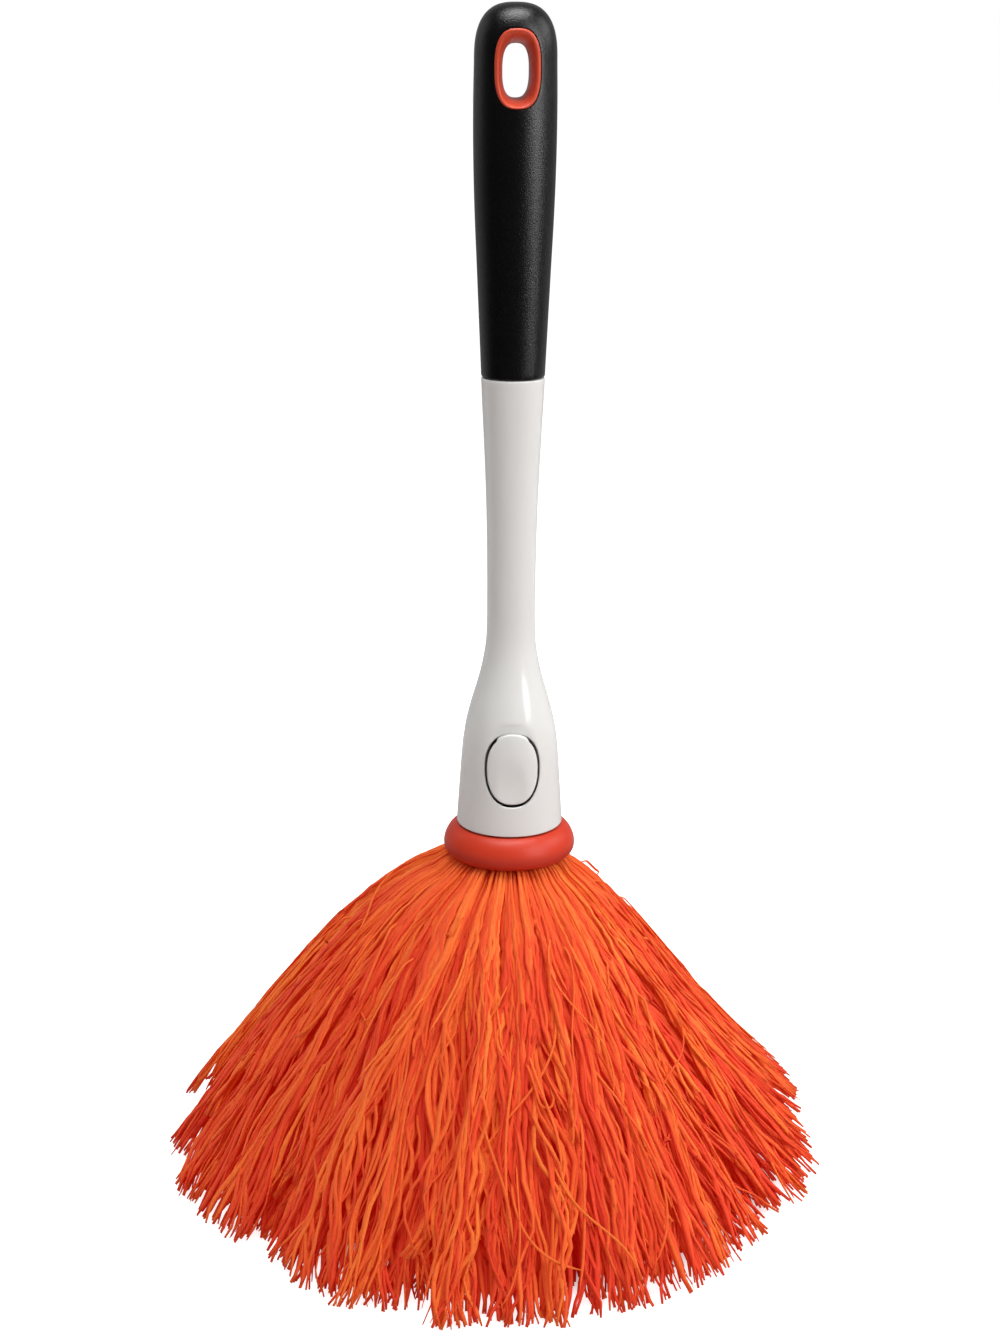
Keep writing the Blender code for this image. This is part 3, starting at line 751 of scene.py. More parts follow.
def slab(shape, across, outline_at):
    """A closed strip across X. outline_at(x) gives its outline there as (y, z) corners."""
    loops = []
    for x in across:
        loops.append([shape.verts.new((x, y, z)) for y, z in outline_at(x)])
    for here, there in zip(loops, loops[1:]):
        join_loops(shape, here, there)
    shape.faces.new(loops[0])
    shape.faces.new(loops[-1])


def web_corners(x):
    z = window_top_at(x)
    low, high = z - web_reach, z + web_root
    front, back = (
        -math.sqrt((neck_radius_at(z) - depth) ** 2 - x * x) for depth in (web_front, web_back)
    )
    return [(front, low), (front, high), (back, high), (back, low)]


shape = bmesh.new()
slab(shape, spread(-hinge_half_width, hinge_half_width, web_steps), web_corners)
hinge_web = finish_mesh(shape, "hinge_web", gloss_white)
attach(hinge_web, "handle")
print(hinge_web.name, len(hinge_web.data.polygons), "faces")

# %% Catch ledge
ledge_above_rim, ledge_reach, ledge_half_width, ledge_height = 0.0339, 0.0102, 0.0025, 0.0015
ledge_z = rim_z + ledge_above_rim


def peg(name, half_width, root, reach, low, high, *materials):
    """A straight block in front of the handle's axis, between two depths and two heights."""
    corners = [(-root, low), (-reach, low), (-reach, high), (-root, high)]
    shape = bmesh.new()
    slab(shape, (-half_width, half_width), lambda x: corners)
    return finish_mesh(shape, name, *materials)


catch_ledge = peg(
    "catch_ledge", ledge_half_width, socket_radius_at(ledge_z) + bell_wall / 2, ledge_reach,
    ledge_z, ledge_z + ledge_height, gloss_white,
)
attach(catch_ledge, "handle")
print(catch_ledge.name, len(catch_ledge.data.polygons), "faces")

# %% [markdown]
# ## Release tab
#
# The tab is the oval of bell wall inside the slit. It stands a hair proud, its edge is rounded,
# and its face is dished for the thumb. Rings that shrink from its outline to its middle let the
# height be set point by point, which a cut with a ball could not do without a hard crease.

# %% Outline and dish of the tab
slit_width, hinge_gap, hinge_blend = 0.00085, 0.0003, 0.0005
tab_proud, tab_lip = 0.0003, 0.00045
dish_radius, dish_depth, dish_softness, dish_drop_share = 0.0560, 0.0007, 0.0004, 0.125
dish_z = tab_z - dish_drop_share * 2 * window_half_height


def tab_edge(u, v):
    """The tab's outline. Its top, as wide as the hinge, comes closer to the window's edge."""
    x, z = full_oval(u, v, window_half_width - slit_width, window_half_height - slit_width)
    if v > 0:
        near_hinge = min(max((hinge_half_width - abs(x)) / hinge_blend, 0), 1)
        z += (slit_width - hinge_gap) * near_hinge
    return x, z + tab_z


def dished(x, z):
    """How far the tab's face lies in front of the handle's axis."""
    skin = math.sqrt((neck_radius_at(z) + tab_proud) ** 2 - x * x)
    ball_y = neck_radius_at(dish_z) + tab_proud + dish_radius - dish_depth
    ball = ball_y - math.sqrt(dish_radius**2 - x * x - (z - dish_z) ** 2)
    return (skin + ball - math.hypot(skin - ball, dish_softness)) / 2 + dish_softness / 2


def shrunk(x, z, share):
    """A point moved towards the tab's middle."""
    return x * share, tab_z + (z - tab_z) * share


print("tab dish centred at", round(dish_z, 4))

# %% Release tab
steps_to_corner, tab_lip_degrees = 28, (0, 22, 45, 68, 90)
face_shares = (0.93, 0.86, 0.78, 0.69, 0.59, 0.48, 0.36, 0.24, 0.12)
back_shares = (1, 0.7, 0.4)

slopes = [math.tan(math.radians(a)) for a in spread(-45, 45, steps_to_corner)[:-1]]
around = [(slope, 1) for slope in slopes] + [(1, -slope) for slope in slopes]
around += [(-u, -v) for u, v in around]
edge = [tab_edge(u, v) for u, v in around]
shape = bmesh.new()
front_rings = []
for turn in (math.radians(d) for d in tab_lip_degrees):
    inwards, lowered = tab_lip * (1 - math.cos(turn)), tab_lip * (1 - math.sin(turn))
    ring = []
    for x, z in edge:
        x, z = shrunk(x, z, 1 - inwards / math.hypot(x, z - tab_z))
        ring.append(shape.verts.new((x, lowered - dished(x, z), z)))
    front_rings.append(ring)
lip_ring = front_rings[-1]
for share in face_shares:
    points = [shrunk(vert.co.x, vert.co.z, share) for vert in lip_ring]
    front_rings.append([shape.verts.new((x, -dished(x, z), z)) for x, z in points])
back_rings = []
for share in back_shares:
    points = [shrunk(x, z, share) for x, z in edge]
    back_rings.append([
        shape.verts.new((x, -math.sqrt(socket_radius_at(z) ** 2 - x * x), z)) for x, z in points
    ])
for rings in (front_rings, back_rings):
    for here, there in zip(rings, rings[1:]):
        join_loops(shape, here, there)
    shape.faces.new(rings[-1])
# The tab's side walls in the slit take the near-black second material: painted shade.
join_loops(shape, front_rings[0], back_rings[0], in_slit)
tab = finish_mesh(shape, "tab_face", gloss_white, painted_shade_black)
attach(tab, "release_tab")
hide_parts("release_tab")
print(tab.name, len(tab.data.polygons), "faces")

# %% Push rib on the tab's back
rib_above_rim, rib_half_width, rib_half_height, rib_reach = 0.0152, 0.0025, 0.0020, 0.0102
rib_z = rim_z + rib_above_rim
push_rib = peg(
    "push_rib", rib_half_width, socket_radius_at(rib_z) + bell_wall / 2, rib_reach,
    rib_z - rib_half_height, rib_z + rib_half_height, gloss_white,
)
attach(push_rib, "release_tab")
print(push_rib.name, len(push_rib.data.polygons), "faces")

# %% [markdown]
# ## Soft grip
#
# The grip is a skin of soft black rubber, moulded over a stiff core. It swells towards the hand
# and closes in a blunt dome. The hang hole goes right through, so the skin gets a window in front
# and one behind, and short walls join its outside to its inside there.

# %% Soft grip
liner_low, liner_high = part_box("hang_hole_liner")
liner_drop, hole_power, moulded_gap, hole_lip = 0.0005, 2.7, 0.00008, 0.0003
grip_sides, grip_half_columns, grip_block_half_height = 128, 18, 0.0143
dome_steps, grip_steps = 16, 70
hole_z = (liner_low.z + liner_high.z) / 2
liner_half_width = liner_high.x
liner_half_height = (liner_high.z - liner_low.z) / 2 - liner_drop


def grip_hole(u, v, more):
    gap = moulded_gap + more
    x, z = full_oval(u, v, liner_half_width + gap, liner_half_height + gap, hole_power)
    return x, z + hole_z


def grip_skin(inset, foot_rows):
    """Rows of one side of the skin, from the dome's top down, and its front window's block."""
    high, low = hole_z + grip_block_half_height, hole_z - grip_block_half_height
    rows = dome_rows(inset, high, dome_steps)
    block = block_from(rows, grip_half_columns)
    heights = spread(high, low, block_rows)[1:] + spread(low, grip_z + edge_round, grip_steps)[1:]
    return rows + [(grip_radius_at(z, inset), z) for z in heights] + foot_rows, block


shape = bmesh.new()
foot = quarter_round(grip_foot_radius - edge_round, grip_z + edge_round, edge_round, 0, -90)
outer_rows, outer_block = grip_skin(0, foot[1:])
inner_rows, inner_block = grip_skin(sleeve_wall, [(grip_foot_radius - sleeve_wall, grip_z)])
skins = []
for rows, block, inset, lip in (
    (outer_rows, outer_block, 0, hole_lip), (inner_rows, inner_block, sleeve_wall, 0)
):
    blocks = [(middle, *block[1:]) for middle in (0, grip_sides // 2)]
    rings = turned_rings(shape, rows, grip_sides, blocks)
    edges = [
        window_rings(
            shape, rings, rows, grip_sides, block, lambda z, inset=inset: grip_radius_at(z, inset),
            grip_hole, lip,
        )
        for block in blocks
    ]
    skins.append((rings[-1], edges))
(outer_foot, outer_edges), (inner_foot, inner_edges) = skins
join_loops(shape, outer_foot, inner_foot)
for outer_edge, inner_edge in zip(outer_edges, inner_edges):
    join_loops(shape, outer_edge, inner_edge)
grip = finish_mesh(shape, "grip_skin", grip_black)
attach(grip, "handle")
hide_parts("grip_sleeve")
gleam_pieces.objects.link(grip)
print(grip.name, len(grip.data.polygons), "faces")

# %% [markdown]
# ## Hang-hole liner
#
# A red-orange rubber eyelet lines the hang hole. It narrows like a funnel from both faces to the
# middle, so a hook finds its way in. It is one closed band of rings: over the front lip, through
# the funnel, over the back lip and home along the outside.

# %% Hang-hole liner
opening_half_width, opening_half_height, opening_drop = 0.0040, 0.0077, 0.0005
liner_lip, liner_proud, funnel_power = 0.0006, 0.0002, 2.4
liner_points, settling_steps = 112, 30
lip_rows = (
    # share of the way in, height over the grip's skin
    (0, -0.0003), (0.03, -0.00008), (0.12, 0.0001), (0.3, 0.0002), (0.55, 0.0002), (0.85, 0.00005),
)
funnel_shares = (0.94, 0.86, 0.76, 0.65, 0.53, 0.40, 0.27, 0.13, 0)
mouth_y = grip_full_radius + liner_proud


def funnel_point(u, v, y):
    flare = (abs(y) / mouth_y) ** funnel_power
    x, z = full_oval(
        u, v,
        opening_half_width + (liner_half_width - liner_lip - opening_half_width) * flare,
        opening_half_height + (liner_half_height - liner_lip - opening_half_height) * flare,
        hole_power,
    )
    return x, z + hole_z - opening_drop * (1 - flare)


def liner_outline(u, v):
    x, z = full_oval(u, v, liner_half_width, liner_half_height, hole_power)
    return x, z + hole_z


def skin_y(x, z, proud):
    """How far the grip's skin lies from the axis, and a little more."""
    return math.sqrt((grip_radius_at(z) + proud) ** 2 - x * x)


def funnel_edge(u, v):
    """Where the funnel comes out through the grip's skin."""
    y = mouth_y
    for _ in range(settling_steps):
        x, z = funnel_point(u, v, y)
        y += (skin_y(x, z, liner_proud) - y) / 2
    return x, y, z


directions = [(math.cos(a), math.sin(a)) for a in spread(0, 2 * math.pi, liner_points)[:-1]]
mouths = [funnel_edge(u, v) for u, v in directions]
outlines = [liner_outline(u, v) for u, v in directions]
front, funnel = [], []
for share, proud in lip_rows:
    ring = []
    for (x_out, z_out), (x_in, _, z_in) in zip(outlines, mouths):
        x, z = x_out + (x_in - x_out) * share, z_out + (z_in - z_out) * share
        ring.append((x, -skin_y(x, z, proud), z))
    front.append(ring)
for depth_share in funnel_shares:
    ring = []
    for (u, v), (_, y_edge, _) in zip(directions, mouths):
        x, z = funnel_point(u, v, y_edge * depth_share)
        ring.append((x, -y_edge * depth_share, z))
    funnel.append(ring)
half_band = front + funnel
band = half_band + [[(x, -y, z) for x, y, z in ring] for ring in reversed(half_band[:-1])]
shape = bmesh.new()
loops = [[shape.verts.new(point) for point in ring] for ring in band]
for here, there in zip(loops, loops[1:] + loops[:1]):
    join_loops(shape, here, there)
liner = finish_mesh(shape, "hang_hole_eyelet", liner_orange, sharp=60)
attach(liner, "handle")
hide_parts("hang_hole_liner")
print(liner.name, len(liner.data.polygons), "faces")

# %% [markdown]
# ## Collar ring
#
# The soft ring under the bell is a plain rubber moulding: flat where the bell presses on it, and
# a bulge outside, fuller below than above, which keeps the bell from marking furniture. Its
# outline is turned with the same helper as the neck's. Its colour is darkened towards the
# underside: painted shade, where the strands below let little light reach it.

# %% Collar ring
collar_low, collar_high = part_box("collar_ring")
collar_crown_radius, collar_bore_radius, collar_sag = 0.0157, 0.0133, 0.0014
collar_steps, collar_sides = 44, 144
collar_middle_z = (collar_low.z + collar_high.z) / 2
collar_half_height = (collar_high.z - collar_low.z) / 2
rows = [(collar_bore_radius, collar_high.z)]
for turn in spread(math.pi / 2, -math.pi / 2, collar_steps):
    bulge = (collar_high.x - collar_crown_radius) * math.cos(turn)
    lift = collar_half_height * math.sin(turn) - collar_sag * math.cos(turn) ** 2
    rows.append((collar_crown_radius + bulge, collar_middle_z + lift))
rows.append((collar_bore_radius, collar_low.z))
shape = bmesh.new()
rings = turned_rings(shape, rows, collar_sides)
join_loops(shape, rings[-1], rings[0])
collar = finish_mesh(shape, "collar_bumper", collar_orange)
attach(collar, "head")
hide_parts("collar_ring")
print(collar.name, len(collar.data.polygons), "faces")

# %% Painted shade under the collar
# Painted shade: the collar's colour goes darker from its middle down to its underside.
shaded_orange, shade_top_z = (0.40, 0.016, 0.007, 1), collar_middle_z + 0.0005
tree = collar_orange.node_tree
base_colour = tree.nodes["Principled BSDF"].inputs["Base Color"]
height = add_node(tree, "ShaderNodeSeparateXYZ", Vector=place_on_object(tree)).outputs["Z"]
under = map_range(tree, height, shade_top_z, collar_low.z)
unshaded = base_colour.links[0].from_socket
plug(tree, mix_colours(tree, under, unshaded, shaded_orange), base_colour)
print("painted shade on", collar_orange.name)

# %% [markdown]
# ## Head plug and spring catch
#
# Inside the bell the head has a plug, with a flat in front that leaves room for the pressed tab,
# and in a slot in the flat stands the spring finger whose barb holds the head. They show when the
# head is pulled out, so the plug is turned again with more sides than the CAD's. A Boolean cuts
# the flat and the slot, which is right here, because both have plain faces. The real finger bends
# back when the tab's rib presses it. Here it is a piece of its own, with a mesh of its own, apart
# from its foot.

# %% Head plug
plug_low, plug_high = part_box("head_plug")
flange_radius, flange_thickness, spool_radius, core_radius = 0.0158, 0.0015, 0.0090, 0.0045
plug_clearance, plug_floor, screw_length, pilot_radius = 0.0004, 0.0040, 0.0140, 0.0022
spigot_steps = 30
flange_z, pilot_z = collar_low.z - seat_gap, plug_low.z + screw_length
flange_low_z, plug_top_z = flange_z - flange_thickness, plug_high.z - edge_round
plug_top_radius = socket_radius_at(plug_high.z) - plug_clearance
rows = [(0, pilot_z + plug_floor), (core_radius, pilot_z + plug_floor), (core_radius, plug_high.z)]
rows += quarter_round(plug_top_radius - edge_round, plug_top_z, edge_round, 90, 0)
spigot = socket_rows(plug_top_z, rim_z, spigot_steps)[1:]
rows += [(radius - plug_clearance, z) for radius, z in spigot]
rows += [(collar_bore_radius - seat_gap, z) for z in (rim_z, flange_z)]
rows += [(flange_radius, z) for z in (flange_z, flange_low_z)]
rows += [(spool_radius, z) for z in (flange_low_z, plug_low.z)]
rows += [(pilot_radius, plug_low.z), (pilot_radius, pilot_z), (0, pilot_z)]
shape = bmesh.new()
turned_rings(shape, rows, handle_sides)
plug_shell = finish_mesh(shape, "plug_shell", gloss_white)
print(plug_shell.name, len(plug_shell.data.polygons), "faces before the cuts")

# %% Flat and slot of the plug
flat_reach, slot_reach, slot_half_width = 0.0085, 0.0057, 0.0028
flat_z, slot_z = rim_z + 0.0062, rim_z + 0.0014
clear_z = plug_high.z + 0.002
for half_width, reach, foot_z in (
    (bell_radius, flat_reach, flat_z), (slot_half_width, slot_reach, slot_z)
):
    cutter = peg("plug_cutter", half_width, bell_radius, reach, foot_z, clear_z)
    carve = plug_shell.modifiers.new("carve", "BOOLEAN")
    carve.operation, carve.solver, carve.object = "DIFFERENCE", "EXACT", cutter
    bpy.context.view_layer.update()
    seen = plug_shell.evaluated_get(bpy.context.evaluated_depsgraph_get())
    carved = bpy.data.meshes.new_from_object(seen)
    plug_shell.modifiers.clear()
    plug_shell.data = carved
    bpy.data.objects.remove(cutter)
plug_shell.data.set_sharp_from_angle(angle=math.radians(30))
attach(plug_shell, "head")
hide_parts("head_plug")
print(plug_shell.name, len(plug_shell.data.polygons), "faces")

# %% Spring catch
catch_low, catch_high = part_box("spring_catch")
finger_front, finger_back, finger_half_width = -0.0099, -0.0087, 0.0025
foot_height, foot_back, soft_corner = 0.0025, -0.0067, 0.0003
barb_depth, barb_height = 0.0010, 0.0006
foot_top, barb_front = catch_low.z + foot_height, finger_front - barb_depth
finger_root = foot_top - 0.0010  # the finger stands a little way in its foot
barb_z = ledge_z + ledge_height + seat_gap


def rounded(corners, size, steps=4):
    """The corners of an outline, each with a small round of the same size."""
    points = []
    for before, corner, after in zip(corners[-1:] + corners, corners, corners[1:] + corners[:1]):
        corner = Vector(corner)
        start = corner + (Vector(before) - corner).normalized() * size
        end = corner + (Vector(after) - corner).normalized() * size
        for share in spread(0, 1, steps):
            points.append(
                start * (1 - share) ** 2 + corner * 2 * share * (1 - share) + end * share**2
            )
    return [tuple(point) for point in points]


finger_corners = [
    (finger_front, finger_root), (finger_back, finger_root), (finger_back, catch_high.z),
    (finger_front, catch_high.z), (barb_front, barb_z + barb_height), (barb_front, barb_z),
    (finger_front, barb_z),
]
foot_corners = [
    (finger_front, catch_low.z), (foot_back, catch_low.z), (foot_back, foot_top),
    (finger_front, foot_top),
]
for name, outline in (
    ("catch_finger", rounded(finger_corners, soft_corner * 0.9)),
    ("catch_foot", rounded(foot_corners, soft_corner)),
):
    shape = bmesh.new()
    slab(shape, (-finger_half_width, finger_half_width), lambda x: outline)
    piece = finish_mesh(shape, name, core_grey)
    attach(piece, "head")
    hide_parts("spring_catch")
    if name == "catch_finger":
        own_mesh(piece)
    print(piece.name, len(piece.data.polygons), "faces")

# %% [markdown]
# ## Microfibre finish
#
# The skirt is cut from microfibre: strips of fine split yarn in a hot orange. No two strips take
# the dye alike, so the group below blends three colours by two numbers that each strand carries:
# its own shade, and how far along it a point lies. That shade is partly dye and partly painted
# light and shade. Near the root the colour is lightened by Root Glow, a painted highlight on the
# skirt's top, and darkened, a painted shade under the collar. The group's map runs along each
# strand, so the lint does too. Real yarn also lets light through, so the gaps between strips glow
# a deep red. A faint emission in the colour that light has after two passes stands for that, and
# costs no extra rays.

# %% Group: dyed fibre
lint_per_metre, speckle_share, root_shade = 1400.0, 0.22, 0.30
dyed_fibre, given, result = start_group(
    "dyed_fibre",
    {
        "Light": ("colour", (1.0, 0.19, 0.04, 1)), "Body": ("colour", (0.93, 0.12, 0.02, 1)),
        "Deep": ("colour", (0.62, 0.03, 0.01, 1)), "Fibre Count": ("value", 6.0),
        "Root Glow": ("value", 0.3),
    },
    {"Colour": "colour", "Glow": "colour", "Height": "value"},
)
shade, along = (
    add_node(dyed_fibre, "ShaderNodeAttribute", {"attribute_name": name}).outputs["Fac"]
    for name in ("shade", "along")
)
strand_map = add_node(dyed_fibre, "ShaderNodeUVMap", {"uv_map": "strand"}).outputs["UV"]
lint_scales = add_node(
    dyed_fibre, "ShaderNodeCombineXYZ", X=given["Fibre Count"], Y=lint_per_metre
).outputs[0]
stretched = vector_maths(dyed_fibre, "MULTIPLY", strand_map, lint_scales)[0]
lint = add_node(
    dyed_fibre, "ShaderNodeTexNoise", Vector=stretched, Scale=1.0, Detail=2.0
).outputs["Fac"]
# Root Glow lightens the strands near the root: a painted highlight on the top of the skirt.
near_root = map_range(dyed_fibre, along, 0.45, 0.05)
speckle = map_range(dyed_fibre, lint, 0.35, 0.7)
mixed = given["Deep"]
for share, colour in (
    (shade, given["Body"]),
    (map_range(dyed_fibre, shade, 0.55, 1.0), given["Light"]),
    (maths(dyed_fibre, "MULTIPLY", near_root, given["Root Glow"]), given["Light"]),
    (maths(dyed_fibre, "MULTIPLY", speckle, speckle_share), given["Deep"]),
):
    mixed = mix_colours(dyed_fibre, share, mixed, colour)
# Near the root the colour is darkened: painted shade under the collar.
unshaded = map_range(dyed_fibre, along, 0.010, 0.055, To_Min=root_shade)
in_light = map_range(dyed_fibre, along, 0.02, 0.12)
twice = vector_maths(dyed_fibre, "MULTIPLY", mixed, mixed)[0]
for name, colour, share in (("Colour", mixed, unshaded), ("Glow", twice, in_light)):
    plug(dyed_fibre, vector_maths(dyed_fibre, "SCALE", colour, Scale=share)[0], result[name])
plug(dyed_fibre, lint, result["Height"])
print("group", dyed_fibre.name)

# %% Microfibre materials
def fibre_material(name, light, body, deep, root_glow, fibre_count=6.0):
    """A light, a middle and a deep colour for the strips, and the lint's count across one."""
    material, tree, shader = start_material(name)
    dyed = place_group(
        tree, dyed_fibre, Light=(*light, 1), Body=(*body, 1), Deep=(*deep, 1),
        Fibre_Count=fibre_count, Root_Glow=root_glow,
    )
    bump = add_node(tree, "ShaderNodeBump", Height=dyed["Height"], Distance=0.00018)
    for socket, value in (
        ("Base Color", dyed["Colour"]),
        ("Emission Color", dyed["Glow"]),
        ("Emission Strength", 0.25),
        ("Roughness", map_range(tree, dyed["Height"], To_Min=0.68, To_Max=0.92)),
        ("Normal", bump.outputs["Normal"]),
        ("Specular IOR Level", 0.14),
        ("Sheen Weight", 0.20),
        ("Sheen Roughness", 0.45),
        ("Sheen Tint", (1.0, 0.42, 0.15, 1)),
    ):
        plug(tree, value, shader.inputs[socket])
    return material


outer_fibre = fibre_material(
    "outer_microfibre", (0.79, 0.202, 0.038), (0.725, 0.094, 0.021), (0.63, 0.034, 0.022), 0.45
)
# The inner tiers lie under the top ones and take a redder, darker copy of the microfibre: painted
# shade.
shaded_inner_fibre = fibre_material(
    "inner_microfibre_shaded", (0.80, 0.105, 0.038), (0.74, 0.060, 0.029), (0.64, 0.028, 0.024), 0.0
)
# The tape's deep colour is a dark red: painted shade for the crease under the collar.
shaded_tape_fibre = fibre_material(
    "header_tape", (0.85, 0.12, 0.03), (0.70, 0.060, 0.014), (0.40, 0.018, 0.010), 0.0, 24.0
)
print("microfibre materials:", 3)

# %% [markdown]
# ## Where the strands run
#
# The strands leave four tapes wound on the spool, one above the other, arch outwards and fall to
# the floor. One curve per tape gives the middle line of its strands. It comes from the curve of
# the CAD's strands, but it is fuller at the left and flatter at the right, as photographed, and
# swells a little unevenly all round.
#
# Real strands never hang alone: neighbours cling into locks, and the locks sway and part. So a
# strand's place is its curve plus slow waves that it shares with its neighbours, a pull towards
# its lock, and small kinks of its own. Hair particles could do this too, but plain arrays of
# points give the same strands on every run and export as real meshes.

# %% Middle curves of the four tiers
skirt_height, skirt_radius = collar_low.z, 0.110
tape_radius, tape_height, tape_pitch = 0.0146, 0.0044, 0.0047
tape_drop = 0.0018  # the plug's flange, and the gap over it
first_tape_z = skirt_height - tape_drop - seat_gap - tape_height / 2
tier_floor_shares = (1.0, 0.89, 0.68, 0.42)
tier_out_shares = (0.245, 0.20, 0.15, 0.10)
tier_rise_shares = (0.055, 0.025, 0.0, -0.04)
tier_knee_shares = (0.80, 0.80, 0.82, 0.86)
knee_height_share = 0.36
round_swells = (
    # size, crests round the skirt, start
    (0.022, 1, 0), (0.024, 3, 0), (0.006, 4, 0), (0.009, 5, 1.1), (-0.013, 8, 0.38),
)


def fullness(turn):
    """How far the skirt reaches out at each turn. It is fuller on its left, as photographed."""
    swings = 0.0065 * (1 + np.sin(turn)) ** 3 - 0.030 * np.sin(turn)
    for size, crests, start in round_swells:
        swings = swings + size * np.cos(crests * turn + start)
    return 1.0 + swings


def skirt_curve(t, tier, depth, turn):
    """(radius, height) on a tier's curve for t from 0 at the tape to 1 at the floor.
    depth goes from 0 for the outermost strands of the tier to 1 for the innermost."""
    reach = skirt_radius * (tier_floor_shares[tier] - 0.14 * depth) * fullness(turn)
    root_z = first_tape_z - tier * tape_pitch + tape_height * (0.42 - 0.84 * depth)
    droop = 1 + np.sin(turn)  # 0 at the left, 2 at the right
    out = (tier_out_shares[tier] - 0.09 * depth) * (1 - 0.065 * droop - 0.0625 * droop**2)
    out_r = tape_radius + skirt_radius * out
    out_z = root_z + skirt_height * (tier_rise_shares[tier] - 0.06 * depth - 0.018 * droop)
    knee_r = tier_knee_shares[tier] * reach * (0.980 + 0.054 * droop - 0.097 * droop**2)
    knee_z = knee_height_share * root_z
    s = 1 - t
    shares = s**3, 3 * s * s * t, 3 * s * t * t, t**3
    radius = shares[0] * tape_radius + shares[1] * out_r + shares[2] * knee_r + shares[3] * reach
    height = shares[0] * root_z + shares[1] * out_z + shares[2] * knee_z
    return radius, height


for r, z in zip(*skirt_curve(np.linspace(0, 1, 5), 0, 0, 0.0)):
    print("outermost curve:", round(1000 * r, 1), "mm out,", round(1000 * z, 1), "mm up")

# %% Shared waves
def slow_waves(pick, count, around, along):
    """Waves over the skirt: whole numbers of crests around it, and a few down it."""
    crests = pick.integers(*around, count)
    pace = pick.uniform(*along, count)
    start = pick.uniform(0, 2 * np.pi, count)
    size = pick.normal(0, 1, count)
    size /= np.sqrt((size**2).sum() / 2)

    def at(turn, t):
        total = 0
        for k, p, s, a in zip(crests, pace, start, size):
            total = total + a * np.sin(k * turn + p * t + s)
        return total

    return at


def ease(t, low, high):
    """A smooth step from 0 at low to 1 at high."""
    u = np.clip((t - low) / (high - low), 0, 1)
    return u * u * (3 - 2 * u)


pick = np.random.default_rng(12)
drift = slow_waves(pick, 9, (9, 30), (3, 11))
part = slow_waves(pick, 9, (25, 70), (6, 20))
heave = slow_waves(pick, 9, (12, 46), (3, 10))
print("waves at the front:", round(float(drift(0.0, 0.5)), 2), round(float(heave(0.0, 0.5)), 2))

# %% [markdown]
# ## Strand meshes
#
# A strip of microfibre is not a wire: it is a soft band, wider than it is thick, that turns over
# here and there. So each thread is a closed mesh of four sides around a line of points, with a
# width, a thickness and a twist at each point. All threads of a piece are built in one go with
# arrays. Two maps go with them: one that runs along each thread, for the fibre pattern, and one
# that gives each thread a lane of its own, so that a bake has room for all of them.

# %% From middle lines to threads
floor_clearance = 0.00005


def frames(line, outward):
    """Unit vectors across a line of points, and away from the skirt."""
    run = np.gradient(line, axis=1)
    run /= np.linalg.norm(run, axis=2, keepdims=True)
    across = np.cross(run, outward)
    across /= np.linalg.norm(across, axis=2, keepdims=True)
    return across, np.cross(across, run)


def thread_mesh(name, line, outward, half_width, half_thick, twist, shade, material, lanes_deep=3):
    """Closed four-sided threads along lines of points, (threads, points, 3)."""
    threads, points = line.shape[:2]
    across, away = frames(line, outward)
    cos, sin = np.cos(twist)[..., None], np.sin(twist)[..., None]
    flat = (across * cos + away * sin) * half_width[..., None]
    thick = (away * cos - across * sin) * half_thick[..., None]
    corners = line[:, :, None] + np.stack(
        [flat - thick, flat + thick, thick - flat, -flat - thick], axis=2
    )
    corners[..., 2] = np.maximum(corners[..., 2], floor_clearance)
    index = np.arange(threads * points * 4).reshape(threads, points, 4)
    here, there = index[:, :-1], index[:, 1:]
    sides = np.stack(
        [here, there, np.roll(there, -1, axis=2), np.roll(here, -1, axis=2)], axis=-1
    ).reshape(-1, 4)
    starts, ends = index[:, 0], index[:, -1, ::-1]
    faces = np.concatenate([sides, starts, ends])
    mesh = bpy.data.meshes.new(name)
    mesh.vertices.add(index.size)
    mesh.vertices.foreach_set("co", corners.astype(np.float32).ravel())
    mesh.loops.add(faces.size)
    mesh.loops.foreach_set("vertex_index", faces.astype(np.int32).ravel())
    mesh.polygons.add(len(faces))
    mesh.polygons.foreach_set("loop_start", np.arange(0, faces.size, 4, dtype=np.int32))
    mesh.update(calc_edges=True)
    mesh.validate()
    add_thread_maps(mesh, line, faces, shade, lanes_deep)
    mesh.materials.append(material)
    mesh.shade_smooth()
    made = bpy.data.objects.new(name, mesh)
    bpy.context.scene.collection.objects.link(made)
    return made


